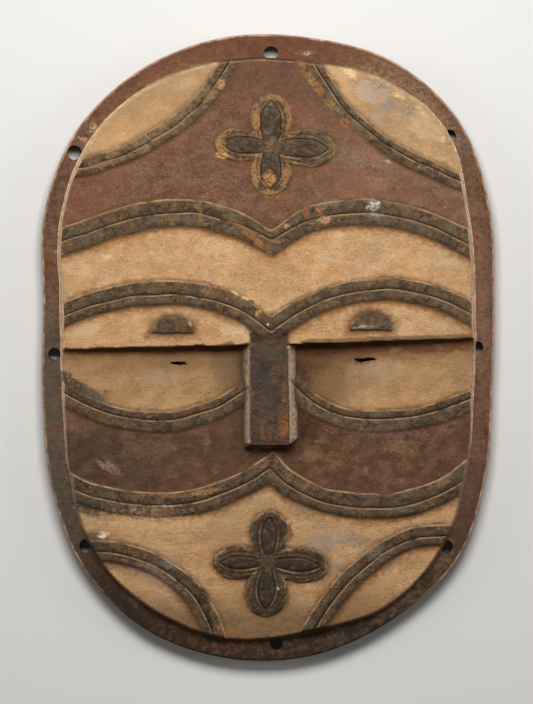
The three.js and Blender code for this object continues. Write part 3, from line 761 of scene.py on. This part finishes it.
def settle(obj):  # takes the modifiers' result as the object's own mesh
    graph = bpy.context.evaluated_depsgraph_get()
    mesh = bpy.data.meshes.new_from_object(obj.evaluated_get(graph))
    obj.modifiers.clear()
    obj.data = mesh
    return mesh


def hollowField(grid):
    x, y = np.meshgrid(grid["x"], grid["y"])
    upward = softStep(-hollow["blend"], hollow["blend"], y)
    rise = between((hollow["riseBelow"], hollow["riseAbove"]), upward)
    width, length, depth, seed = hollow["gouge"]
    roof = hollow["edgeDepth"] + rise * plateDome(x, y) - depth * gougeCuts(x, y, width, length, seed)
    inset = insetFrom(rimLoop, x, y) - hollow["rimWidth"] + uneven("hollowEdge", x, y)
    return np.maximum(roundedMin(roof, inset * hollow["wallSlope"], hollow["wallRound"]), hollow["lowest"])


# Places that stand out from what lies around them are rubbed, and lower ones are darker
wearAndLight = {
    "around": [(0.4, 1), (0.8, 2), (1.5, 2)],  # close by, near and wide: radius, and how often evened out
    "rubbed": 0.5,  # how far a rubbed place stands out
    "dirty": 1.1,  # how low a darkened one lies
    "most": 1.5,
    "level": 0.6,  # rubbing on level ground
    "slopeGain": 0.7,  # what a slope towards the forehead adds where it faces the light: painted highlight
    "slopeRange": (0.2, 1.3),
    "turnEnd": (4, 1),  # rubbing, its painted highlight and the darkening end where the surface turns down
    "bareTurn": 3,  # and so does the paint, this steeply
}


def surfaceFields(grid, fields):
    cell = grid["step"]
    close, near, wide = (boxBlur(fields["height"], max(1, round(radius / cell)), times)
                         for radius, times in wearAndLight["around"])
    uphill = np.gradient(close, cell, axis=0)
    exposed = np.clip(wearAndLight["level"] - wearAndLight["slopeGain"] * uphill, *wearAndLight["slopeRange"])
    fields["worn"] = np.clip((close - near) / wearAndLight["rubbed"], 0, wearAndLight["most"]) * exposed
    fields["dirt"] = np.clip((wide - close) / wearAndLight["dirty"], 0, wearAndLight["most"])
    return fields


def carvedPiece():
    grid = makeGrid(meshing["faceStep"])
    x, y = np.meshgrid(grid["x"].astype(np.float32), grid["y"].astype(np.float32))
    fields = surfaceFields(grid, carve(x, y))
    fields["height"] = np.minimum(fields["height"], maskHigh.z / mm - meshing["headroom"])
    print("front carved:", x.size, "nodes")
    piece = heightBlock("painted_mask", grid, fields["height"], meshing["below"])
    body = outlineBlock("rimBody", rimLoop * rim["trim"], rim["lift"], meshing["tall"], bevel=rim["backEdge"])
    backGrid = makeGrid(meshing["backStep"])
    bowl = heightBlock("bowl", backGrid, hollowField(backGrid), meshing["bowlBelow"])
    holes = tieHoleCutters()
    guard = outlineBlock("plateGuard", plateLoop, plate["foot"], meshing["tall"])
    cut(holes, "DIFFERENCE", guard)  # the drills don't touch the plate
    openings = slitCutters()
    cut(piece, "INTERSECT", body)
    for tool in (bowl, holes, openings):
        cut(piece, "DIFFERENCE", tool)
    mesh = settle(piece)
    for tool in (body, bowl, holes, guard, openings):
        bpy.data.objects.remove(tool)
    mesh.calc_loop_triangles()
    count = len(mesh.loop_triangles)
    print("cut to the outline:", count, "triangles")
    thin = piece.modifiers.new("thin", "DECIMATE")
    thin.ratio = min(1, meshing["triangles"] / count)
    mesh = settle(piece)
    print("thinned:", len(mesh.polygons), "faces")
    finishSurface(mesh, grid, fields)
    mesh.transform(Matrix.Translation((-maskMiddle[0] * mm, -maskMiddle[1] * mm, 0)))
    return piece


def paintMarks(mesh, spots, up):  # how deep a place lies in a mark, and the mark's colour and cover
    x, y = spots[:, 0], spots[:, 1]
    depth = np.full(x.shape, noMark)
    tint = np.zeros((*x.shape, 4))
    for region in marks.values():
        for cx, cy, halfWidth, halfHeight, turn, softness, colour, cover in region:
            u, v = turned(x, y, (cx, cy), turn)
            here = (1 - np.hypot(u / halfWidth, v / halfHeight)) * min(halfWidth, halfHeight) / softness
            taken = (here > depth) | (here > firmMark)
            depth = np.where(taken, here, depth)
            tint[taken] = (*toLinear(colour)[:3], cover)
    depth = np.where(up > 0, depth, noMark)
    store = mesh.attributes.new("markTint", "FLOAT_COLOR", "POINT")
    store.data.foreach_set("color", tint.astype(np.float32).ravel())
    return depth


def finishSurface(mesh, grid, fields):
    mesh.shade_smooth()
    mesh.set_sharp_from_angle(angle=math.radians(meshing["sharpAngle"]))
    spots = readVectors(mesh.vertices, "co") / mm
    up = readVectors(mesh.vertex_normals, "vector")[:, 2]
    del fields["height"]
    values = {name: sampleAt(grid, field, spots[:, 0], spots[:, 1]) for name, field in fields.items()}
    gain, start = wearAndLight["turnEnd"]
    for name in ("worn", "dirt"):
        values[name] = values[name] * np.clip(up * gain + start, 0, 1)
    level, fade = hollow["bare"]
    low = np.clip((level - spots[:, 2]) / fade, 0, 1)
    values["back"] = np.clip(np.clip(-up * wearAndLight["bareTurn"], 0, 1) + low, 0, 1)
    values["mark"] = paintMarks(mesh, spots, up)
    for name, value in values.items():
        store = mesh.attributes.new(name, "FLOAT", "POINT")
        store.data.foreach_set("value", value.astype(np.float32))


def toLinear(colour):
    parts = [int(colour[k:k + 2], 16) / 255 for k in (1, 3, 5)]
    return (*(c / 12.92 if c < 0.04045 else ((c + 0.055) / 1.055) ** 2.4 for c in parts), 1)


def addNode(tree, kind, links=None, **settings):
    node = tree.nodes.new(kind)
    for name, value in settings.items():
        setattr(node, name, value)
    for socket, value in (links or {}).items():
        if isinstance(value, bpy.types.NodeSocket):
            tree.links.new(value, node.inputs[socket])
        else:
            node.inputs[socket].default_value = value
    return node


# Areas that several coats of paint share
onPaint = ("rim", 0.3, -0.5)
offRim = ("rim", 0.4, 0)
onRim = ("rim", 0, 1)
onRed = ("red", 0.4, 3)
onBlack = ("black", 0, 1)
onFront = ("front", -0.4, 0.4)
noseSides = [("nose", 0.2, 0.9), ("front", 0.3, -0.4), ("y", -53.5, -52.5)]
underLedge = ("ledge", 0.6, -0.4)
onBack = ("back", 0.1, 0.6)

# Light carved softwood painted with earth pigments: kaolin cream, camwood red and charcoal black, all
# matt and dusty. The paint is thin, so it is mottled, rubbed off the edges and darker in the hollows.
# A coat is two colours and the pattern that mixes them, how much it covers, where it lies, and the
# pattern and the millimetres by which its edge wanders. Where it lies is a row of distances in mm, or of
# patterns, rubbing and darkening from 0 to 1, each with the two values between which the coat comes in. The
# coat named markTint takes its colour and its cover from the marks of age.
paint = {
    # Size in mm along x, y and z, and detail. Real grain and pigment are finer than grain, fleck and
    # streak, which are as coarse as they need to be to show.
    "patterns": {
        "fleck": ((1.3, 1.0, 1.2), 3),
        "spot": ((3.2, 2.6, 3), 3),
        "patch": ((9, 7, 8), 4),
        "cloud": ((30, 22, 20), 3),
        "streak": ((6, 1.2, 5), 3),
        "grain": ((1.2, 16, 1.2), 3),
    },
    "mixRange": (0.38, 0.62),  # values of a pattern at which only its first or second colour shows
    "patternStart": ((5, 0, 0), (17.3, 9.1, 4.7)),  # the first one's place, and the steps to the next ones
    "wanderGain": 3,  # a pattern stays within about a sixth of its middle
    "roughness": 0.85,
    "specular": 0.2,
    "bump": (0.35, 0.7),  # brush and tool marks: height in mm, and strength
    "ground": ("#c4996d", "#b1885d", "patchX"),
    "coats": [
        ("#cdab80", "#c19d72", "fleckX", 0.35, [("streakX", 0.53, 0.66)]),
        ("#8a6541", "#9b7249", "fleckX", 0.4, [("streakY", 0.55, 0.7)]),
        ("#a3764a", "#b07c48", "spotX", 0.6, [("patchY", 0.52, 0.66)]),
        ("#d3b48d", "#c4a077", "spotX", 0.45, [("cloudZ", 0.52, 0.66)]),
        ("#9c8a70", "#ab9273", "spotY", 0.45, [("cloudX", 0.54, 0.7)]),
        ("#94704a", "#a37a50", "fleckZ", 0.35, [("fleckY", 0.5, 0.62)]),
        ("#7d5f41", "#684a30", "spotZ", 0.7, [("fleckY", 0.6, 0.7), ("patchX", 0.44, 0.56)]),
        ("#dcc096", "#c9a87c", "spotZ", 0.45, [("fleckZ", 0.55, 0.68)]),
        # cream darker towards the chin: painted shade, where less light falls
        ("#a17d58", "#8f6e4c", "spotY", 0.5, [("y", -60, -110), ("cloudY", 0.4, 0.6)]),
        ("#7c5e3e", "#6b5034", "spotY", 0.8, [("y", -134, -152)]),
        ("#a07f5a", "#8f7052", "spotY", 0.75, [("y", 95, 125), ("cloudY", 0.34, 0.58)]),
        # camwood red
        ("#74503c", "#5f3e2c", "patchZ", 1, [("red", -0.8, 0.8)], ("spotX", 1.4)),
        ("#7f6650", "#6e5644", "spotY", 0.65, [("red", 1, 4), ("patchX", 0.52, 0.66)]),
        ("#4b3324", "#573a28", "spotX", 0.5, [onRed, ("spotZ", 0.5, 0.62)]),
        ("#503627", "#5a3e2c", "spotX", 0.45, [onRed, ("fleckZ", 0.5, 0.6)]),
        ("#94704c", "#86664a", "fleckX", 0.5, [("red", 1, 4), ("fleckY", 0.54, 0.64)]),
        ("#8c5340", "#7c4a38", "fleckX", 0.35, [("red", 1, 4), ("cloudX", 0.5, 0.62)]),
        ("#8b7055", "#7b6048", "spotX", 0.5, [onRed, ("x", 12, 60), ("y", 50, 62), ("patchZ", 0.4, 0.6)]),
        ("#4e3527", "#5c4030", "spotX", 0.5, [onRed, ("y", 118, 150)]),
        ("#3c362b", "#4a4133", "spotX", 0.6, [onRed, ("y", -40, -52), ("x", -30, -90)]),
        # red darker lower down on the cheeks: painted shade, where less light falls
        ("#402c1c", "#4e3622", "spotX", 0.7, [("red", 0, 2), ("y", -30, -45), ("patchY", 0.36, 0.56)]),
        # painted shade around the nose and under the ledge, and rust under its right half
        ("#85643f", "#735434", "spotY", 0.75,
         [("ledge", -52, -3), ("ledge", 0.8, 0), ("y", -60, -30)], ("patchX", 4)),
        ("#33200f", "#4a3019", "spotX", 0.97,
         [("nose", -85, -5), ("x", 2, 12), underLedge, ("y", -88, -70)], ("patchX", 5)),
        ("#553a20", "#644527", "spotY", 0.62,
         [("nose", -150, -40), ("x", 2, 12), ("ledge", -15, -8), underLedge], ("patchX", 2)),
        ("#453220", "#553f28", "spotX", 0.9,
         [("nose", -52, 0), ("x", -2, -12), underLedge, ("y", -86, -68)], ("patchX", 4)),
        ("#5e4930", "#6b5337", "spotY", 0.42,
         [("x", -12, -20), ("x", -100, -60), ("ledge", -16, -9), underLedge], ("patchX", 1.5)),
        # charcoal black, brown where it is thin
        # a brown band below the ribs and round the pupils and petals: thin black paint, and a painted shadow
        # below them
        ("#70492a", "#8c5929", "spotX", 0.85,
         [("black", -5, -0.3), ("groove", -3, -5), ("red", 1, -1), onPaint], ("spotY", 2.6)),
        ("#644629", "#7d5833", "spotX", 0.5, [("black", -2.2, 0), onPaint], ("spotZ", 1.7)),
        ("#534230", "#604d38", "patchY", 1, [("black", -0.5, 0.4), onPaint], ("spotX", 1.2)),
        ("#3b3029", "#4a3828", "patchY", 1, [("front", -0.9, 0.6)], ("fleckX", 0.4)),
        ("#2b2219", "#3c2e21", "fleckX", 0.7, [onBlack, onPaint, ("spotZ", 0.47, 0.57)]),
        ("#2a1f16", "#38291b", "fleckX", 0.45, [onBlack, onPaint, ("fleckY", 0.5, 0.6)]),
        ("#6b4e33", "#5c412a", "fleckY", 0.65, [onBlack, onPaint, ("patchX", 0.52, 0.62)]),
        ("#6c5f49", "#5c5340", "fleckZ", 0.6, [onBlack, onPaint, ("patchZ", 0.52, 0.62)]),
        ("#8a7557", "#77634a", "fleckZ", 0.4, [onBlack, onPaint, ("fleckX", 0.56, 0.66)]),
        ("#a3774a", "#8c6238", "fleckZ", 0.5,
         [("black", 0, 0.6), onPaint, ("spotX", 0.57, 0.64), ("patchY", 0.46, 0.56)]),
        # the nose's sides pale: grey dust, and a painted highlight from the light at the sides
        ("#c8ac8c", "#ae9272", "spotY", 1, [*noseSides, ("y", 1, -4)], ("fleckX", 0.4)),
        ("#7a6549", "#8f7855", "fleckY", 0.65, [*noseSides, ("spotX", 0.46, 0.62)]),
        ("#938a82", "#a08a70", "fleckY", 0.5, [*noseSides, ("patchZ", 0.42, 0.6)]),
        ("#2a2219", "#3a2f22", "fleckX", 0.6, [("petal", 0.3, 1), ("y", -80, -90), ("spotX", 0.42, 0.54)]),
        ("#2b241d", "#33291f", "fleckX", 0.6, [onFront, ("spotX", 0.46, 0.58)]),
        ("#5f4b35", "#55493b", "fleckX", 0.55, [onFront, ("spotY", 0.5, 0.62)]),
        ("#70533a", "#5f4530", "fleckY", 0.5, [onFront, ("patchY", 0.5, 0.6), ("fleckZ", 0.44, 0.56)]),
        # carved lines, with their painted shade and highlights
        # dark in the groove between a pair's ribs: painted shade
        ("#1f160f", "#2e2015", "spotX", 0.8,
         [("black", 0.1, 0.5), ("groove", -0.35, 0), ("groove", 0.8, 0.4), onPaint]),
        # the light line on the lower rib's edge below the groove: worn paint and a painted highlight
        ("#a98a64", "#7d6344", "patchY", 0.8,
         [("black", 0.1, 0.5), ("groove", -1.1, -0.8), ("groove", -0.1, -0.4), onPaint,
          ("patchX", 0.38, 0.46)]),
        # the light line along each pair's upper edge: worn paint and a painted highlight where it faces the
        # light, none beside the nose, which shades it
        ("#b8946e", "#876a49", "patchX", 0.8,
         [("edgeAbove", -0.5, -0.2), ("edgeAbove", 0.8, 0.45), ("black", -0.5, -0.2), ("nose", -8, -20),
          onPaint, ("patchY", 0.36, 0.46)]),
        ("#a97a4c", "#80593a", "spotX", 0.8,
         [("petal", 0.1, 0.7), ("petal", 3.2, 1.8), ("y", 60, 70), ("x", 14, 7), ("fleckY", 0.38, 0.5),
          ("spotY", 0.4, 0.5)], ("spotZ", 1)),
        ("#a0804f", "#76583a", "spotX", 0.75,
         [("petal", 0.1, 0.4), ("petal", 1.6, 1), ("patchY", 0.45, 0.52)], ("spotZ", 0.8)),
        ("#211a13", "#34291d", "spotX", 0.6,
         [("leaf", -0.6, -1.4), ("petal", 0.6, 1.6), onPaint, ("spotY", 0.4, 0.54)]),
        # dark in the leaf grooves: painted shade
        ("#241b12", "#33241a", "spotX", 0.8, [("leaf", -0.6, -0.25), ("leaf", 0.5, 0.2)]),
        # light beside the leaf grooves: painted highlight
        ("#a1805a", "#6e553a", "spotY", 0.7,
         [("leaf", 0.3, 0.5), ("leaf", 1.3, 0.9), ("patchX", 0.42, 0.52)]),
        # dark in the fainter second groove: painted shade
        ("#2b2118", "#3b2b1f", "spotX", 0.6, [("leaf", 1.9, 2.2), ("leaf", 2.9, 2.6)]),
        # a pale edge along the plate's top, where the light falls: worn paint and a painted highlight
        ("#e3caa0", "#c5a277", "patchX", 0.75,
         [("rim", -2.6, -1.5), ("rim", 0.2, -0.3), ("black", 0, -1), ("red", 0, -1), ("y", 92, 112),
          ("patchY", 0.4, 0.52)], ("spotX", 0.8)),
        # rim
        ("#6b4a33", "#553928", "patchX", 1, [("rim", -0.5, 0.4)], ("spotX", 0.5)),
        ("#6e5c4c", "#625345", "spotX", 0.5, [onRim, ("patchY", 0.44, 0.68)]),
        ("#886a4f", "#785a42", "spotX", 0.5, [onRim, ("fleckZ", 0.48, 0.68)]),
        ("#40291c", "#4a3223", "spotX", 0.5, [onRim, ("spotY", 0.5, 0.62)]),
        ("#70422a", "#5d3723", "spotX", 0.6, [onRim, ("y", 110, 160)]),
        ("#291d13", "#362618", "spotY", 0.92, [onRim, ("y", -60, -140)]),
        ("#645039", "#544333", "fleckX", 0.5, [onRim, ("y", -90, -120), ("spotX", 0.52, 0.64)]),
        ("#545044", "#433f35", "spotY", 0.6, [onRim, ("x", -95, -112), ("y", 40, -5), ("patchX", 0.3, 0.5)]),
        ("#4d4536", "#3b3226", "spotX", 0.85,
         [("black", -6.5, -4), ("red", -1, -3), ("x", -84, -98), ("y", -8, -14), onPaint,
          ("fleckY", 0.28, 0.42)], ("spotX", 1)),
        # rubbed edges with painted highlight, darker hollows, painted shadow under the ledge, and pale edges
        # rubbed edges, lighter where they slope towards the light: worn paint and a painted highlight
        ("#a98a63", "#8a6a46", "fleckX", 0.55, [("worn", 0.25, 0.7)], ("spotY", 0.3)),
        # darker in the hollows
        ("#38291b", "#47321f", "spotZ", 0.65, [("dirt", 0.1, 0.7), ("rim", 0.5, 0)], ("spotX", 0.2)),
        # painted shadow under the ledge
        ("#5f4228", "#764a27", "spotY", 0.75,
         [("ledge", -8, -1.5), ("ledge", 0.8, 0), ("nose", 0, -2), offRim], ("spotX", 2)),
        # under the ledge's right half a deeper painted shadow, and rust
        ("#4b2d18", "#5f381e", "spotY", 0.8,
         [("ledge", -11, -5), ("ledge", 0.8, 0), ("x", 14, 18), ("nose", 0, -2), offRim,
          ("patchY", 0.36, 0.5)], ("spotX", 2)),
        ("#55422c", "#6b5136", "spotY", 0.75,
         [("ledge", 0, 0.4), ("ledge", 3, 2), ("x", 16, 24), offRim], ("spotX", 0.5)),
        # the plate's pale side wall: bare wood and a painted highlight, fading out towards the chin, where it
        # is in shade, and at the top
        ("#e6c8a8", "#c9a482", "spotY", 0.95,
         [("wall", 0.3, 0.9), offRim, ("y", -110, -15), ("y", 160, 135)]),
        ("#c9a48a", "#97745c", "patchY", 0.8, [("outer", 1.5, 0.8), ("y", -150, -130)], ("spotX", 0.5)),
        # chips, scratches and stains
        ("markTint", "", "", 1, [("mark", -0.6, 0.8), ("fleckY", 0.36, 0.52)], ("spotX", 1.6)),
        # unpainted back, its grain along the board, dark where it was held
        ("#6f5035", "#543b27", "grainX", 1, [onBack]),
        ("#82603f", "#6d4f34", "grainY", 0.5, [onBack, ("cloudX", 0.46, 0.6)]),
        ("#38271a", "#46311f", "grainX", 0.6, [onBack, ("grainZ", 0.54, 0.64)]),
        ("#46321f", "#38281b", "patchX", 0.6, [onBack, ("outer", 20, 5)]),
    ],
}


def paintedWood():
    material = bpy.data.materials.new("earth painted wood")
    material.use_nodes = True
    tree = material.node_tree
    tree.nodes.clear()
    place = addNode(tree, "ShaderNodeTexCoord").outputs["Object"]
    spot = addNode(tree, "ShaderNodeVectorMath", {0: place, "Scale": 1 / mm}, operation="SCALE").outputs[0]
    sockets = {}
    axes = addNode(tree, "ShaderNodeSeparateXYZ", {0: spot})
    sockets["x"], sockets["y"] = axes.outputs["X"], axes.outputs["Y"]
    for k, (name, (size, detail)) in enumerate(paint["patterns"].items()):
        start = [first + k * step for first, step in zip(*paint["patternStart"])]
        moved = {0: spot, 1: [1 / s for s in size], 2: start}
        scaled = addNode(tree, "ShaderNodeVectorMath", moved, operation="MULTIPLY_ADD")
        links = {"Vector": scaled.outputs[0], "Scale": 1, "Detail": detail}
        cells = addNode(tree, "ShaderNodeTexNoise", links)
        parts = addNode(tree, "ShaderNodeSeparateXYZ", {0: cells.outputs["Color"]})
        for axis in "XYZ":
            sockets[name + axis] = parts.outputs[axis]
    steady = set(sockets) - {"x"} | {"rim"}  # these keep their place where a coat's edge wanders

    def field(name):
        if name not in sockets:
            sockets[name] = addNode(tree, "ShaderNodeAttribute", attribute_name=name).outputs["Fac"]
        return sockets[name]

    def shade(first, second, pattern):
        low, high = paint["mixRange"]
        links = {"Value": field(pattern), "From Min": low, "From Max": high}
        spread = addNode(tree, "ShaderNodeMapRange", links)
        links = {"Factor": spread.outputs[0], "A": toLinear(first), "B": toLinear(second)}
        return addNode(tree, "ShaderNodeMix", links, data_type="RGBA").outputs["Result"]

    colour = shade(*paint["ground"])
    for first, second, pattern, cover, where, *wander in paint["coats"]:
        if first == "markTint":
            tint = addNode(tree, "ShaderNodeAttribute", attribute_name=first)
            cover, fresh = tint.outputs["Alpha"], tint.outputs["Color"]
        else:
            fresh = shade(first, second, pattern)
        for name, start, end in where:
            value = field(name)
            if wander and name not in steady:
                by, amount = wander[0]
                off = addNode(tree, "ShaderNodeMath", {0: field(by), 1: 0.5}, operation="SUBTRACT").outputs[0]
                moved = {0: off, 1: paint["wanderGain"] * amount, 2: value}
                value = addNode(tree, "ShaderNodeMath", moved, operation="MULTIPLY_ADD").outputs[0]
            ramp = addNode(tree, "ShaderNodeMapRange", {"Value": value, "From Min": start, "From Max": end})
            part = {0: ramp.outputs[0], 1: cover}
            cover = addNode(tree, "ShaderNodeMath", part, operation="MULTIPLY").outputs[0]
        links = {"Factor": cover, "A": colour, "B": fresh}
        colour = addNode(tree, "ShaderNodeMix", links, data_type="RGBA").outputs["Result"]
    sides = {"Factor": field("back"), "A": field("streakX"), "B": field("grainX")}
    streak = addNode(tree, "ShaderNodeMix", sides).outputs[0]
    grain = addNode(tree, "ShaderNodeMath", {0: streak, 1: field("fleckX")}, operation="ADD").outputs[0]
    height, strength = paint["bump"]
    bump = addNode(tree, "ShaderNodeBump", {"Height": grain, "Strength": strength, "Distance": height * mm})
    look = {"Base Color": colour, "Roughness": paint["roughness"], "Specular IOR Level": paint["specular"]}
    surface = addNode(tree, "ShaderNodeBsdfPrincipled", {**look, "Normal": bump.outputs[0]})
    addNode(tree, "ShaderNodeOutputMaterial", {"Surface": surface.outputs[0]})
    return material


mask = carvedPiece()
mask.data.materials.clear()
mask.data.materials.append(paintedWood())
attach(mask, "root")
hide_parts("carved_mask")
print("mask painted")

studio = {
    "lens": 300,
    "sensor": 36,
    "farEnd": 50,  # metres
    "exactLevel": 10,  # height above the back at which the photograph's scale holds
    "pictureHeight": 393.0,  # millimetres from the picture's top to its bottom at that level
    "aside": (-0.84, -2.51),  # where the picture's middle is on the mask
    "floorColour": "#d9d7d3",
    "floorRoughness": 0.9,
    "floorHalf": 6,  # metres
    "floorBelow": 0.2,
    "key": {"place": (0, 0.46, 0.8), "aim": (0, 0.02, 0), "size": (0.6, 0.35), "power": 9.4},
    "sides": {"left": (-0.8, 0.08, 0.26), "right": (0.8, 0.08, 0.26)},
    "sideStrength": 0.76,
    "sideSpread": 26,
    "ambient": 0.06,
}


def makeCamera():  # straight above the mask, as in the photograph
    data = bpy.data.cameras.new("camera")
    data.lens = studio["lens"]
    data.sensor_width = studio["sensor"]
    data.clip_end = studio["farEnd"]
    camera = placed("camera", data)
    away = studio["pictureHeight"] * studio["lens"] / studio["sensor"] + studio["exactLevel"]
    camera.location = (studio["aside"][0] * mm, studio["aside"][1] * mm, away * mm)
    bpy.context.scene.camera = camera


def makeLights():
    key = studio["key"]
    data = bpy.data.lights.new("key", "AREA")
    data.shape = "RECTANGLE"
    data.size, data.size_y = key["size"]
    data.energy = key["power"]
    light = placed("key", data)
    light.location = key["place"]
    light.rotation_euler = (Vector(key["aim"]) - light.location).to_track_quat("-Z", "Y").to_euler()
    light.visible_camera = False
    for name, place in studio["sides"].items():  # wide and soft, even all over the floor
        data = bpy.data.lights.new(name, "SUN")
        data.energy = studio["sideStrength"]
        data.angle = math.radians(studio["sideSpread"])
        sun = placed(name, data)
        sun.rotation_euler = Vector(place).to_track_quat("Z", "Y").to_euler()
    world = bpy.data.worlds.new("studio")
    world.use_nodes = True
    background = world.node_tree.nodes["Background"]
    background.inputs["Color"].default_value = toLinear("#ffffff")
    background.inputs["Strength"].default_value = studio["ambient"]
    bpy.context.scene.world = world
    bpy.context.scene.view_settings.view_transform = "Standard"


def makeFloor():
    bm = bmesh.new()
    bmesh.ops.create_grid(bm, x_segments=1, y_segments=1, size=studio["floorHalf"])
    floor = meshObject("floor", bm)
    floor.location.z = -studio["floorBelow"] * mm
    material = bpy.data.materials.new("pale floor")
    material.use_nodes = True
    shader = material.node_tree.nodes["Principled BSDF"]
    shader.inputs["Base Color"].default_value = toLinear(studio["floorColour"])
    shader.inputs["Roughness"].default_value = studio["floorRoughness"]
    floor.data.materials.append(material)


makeCamera()
makeLights()
makeFloor()
print("camera, lights and floor placed")
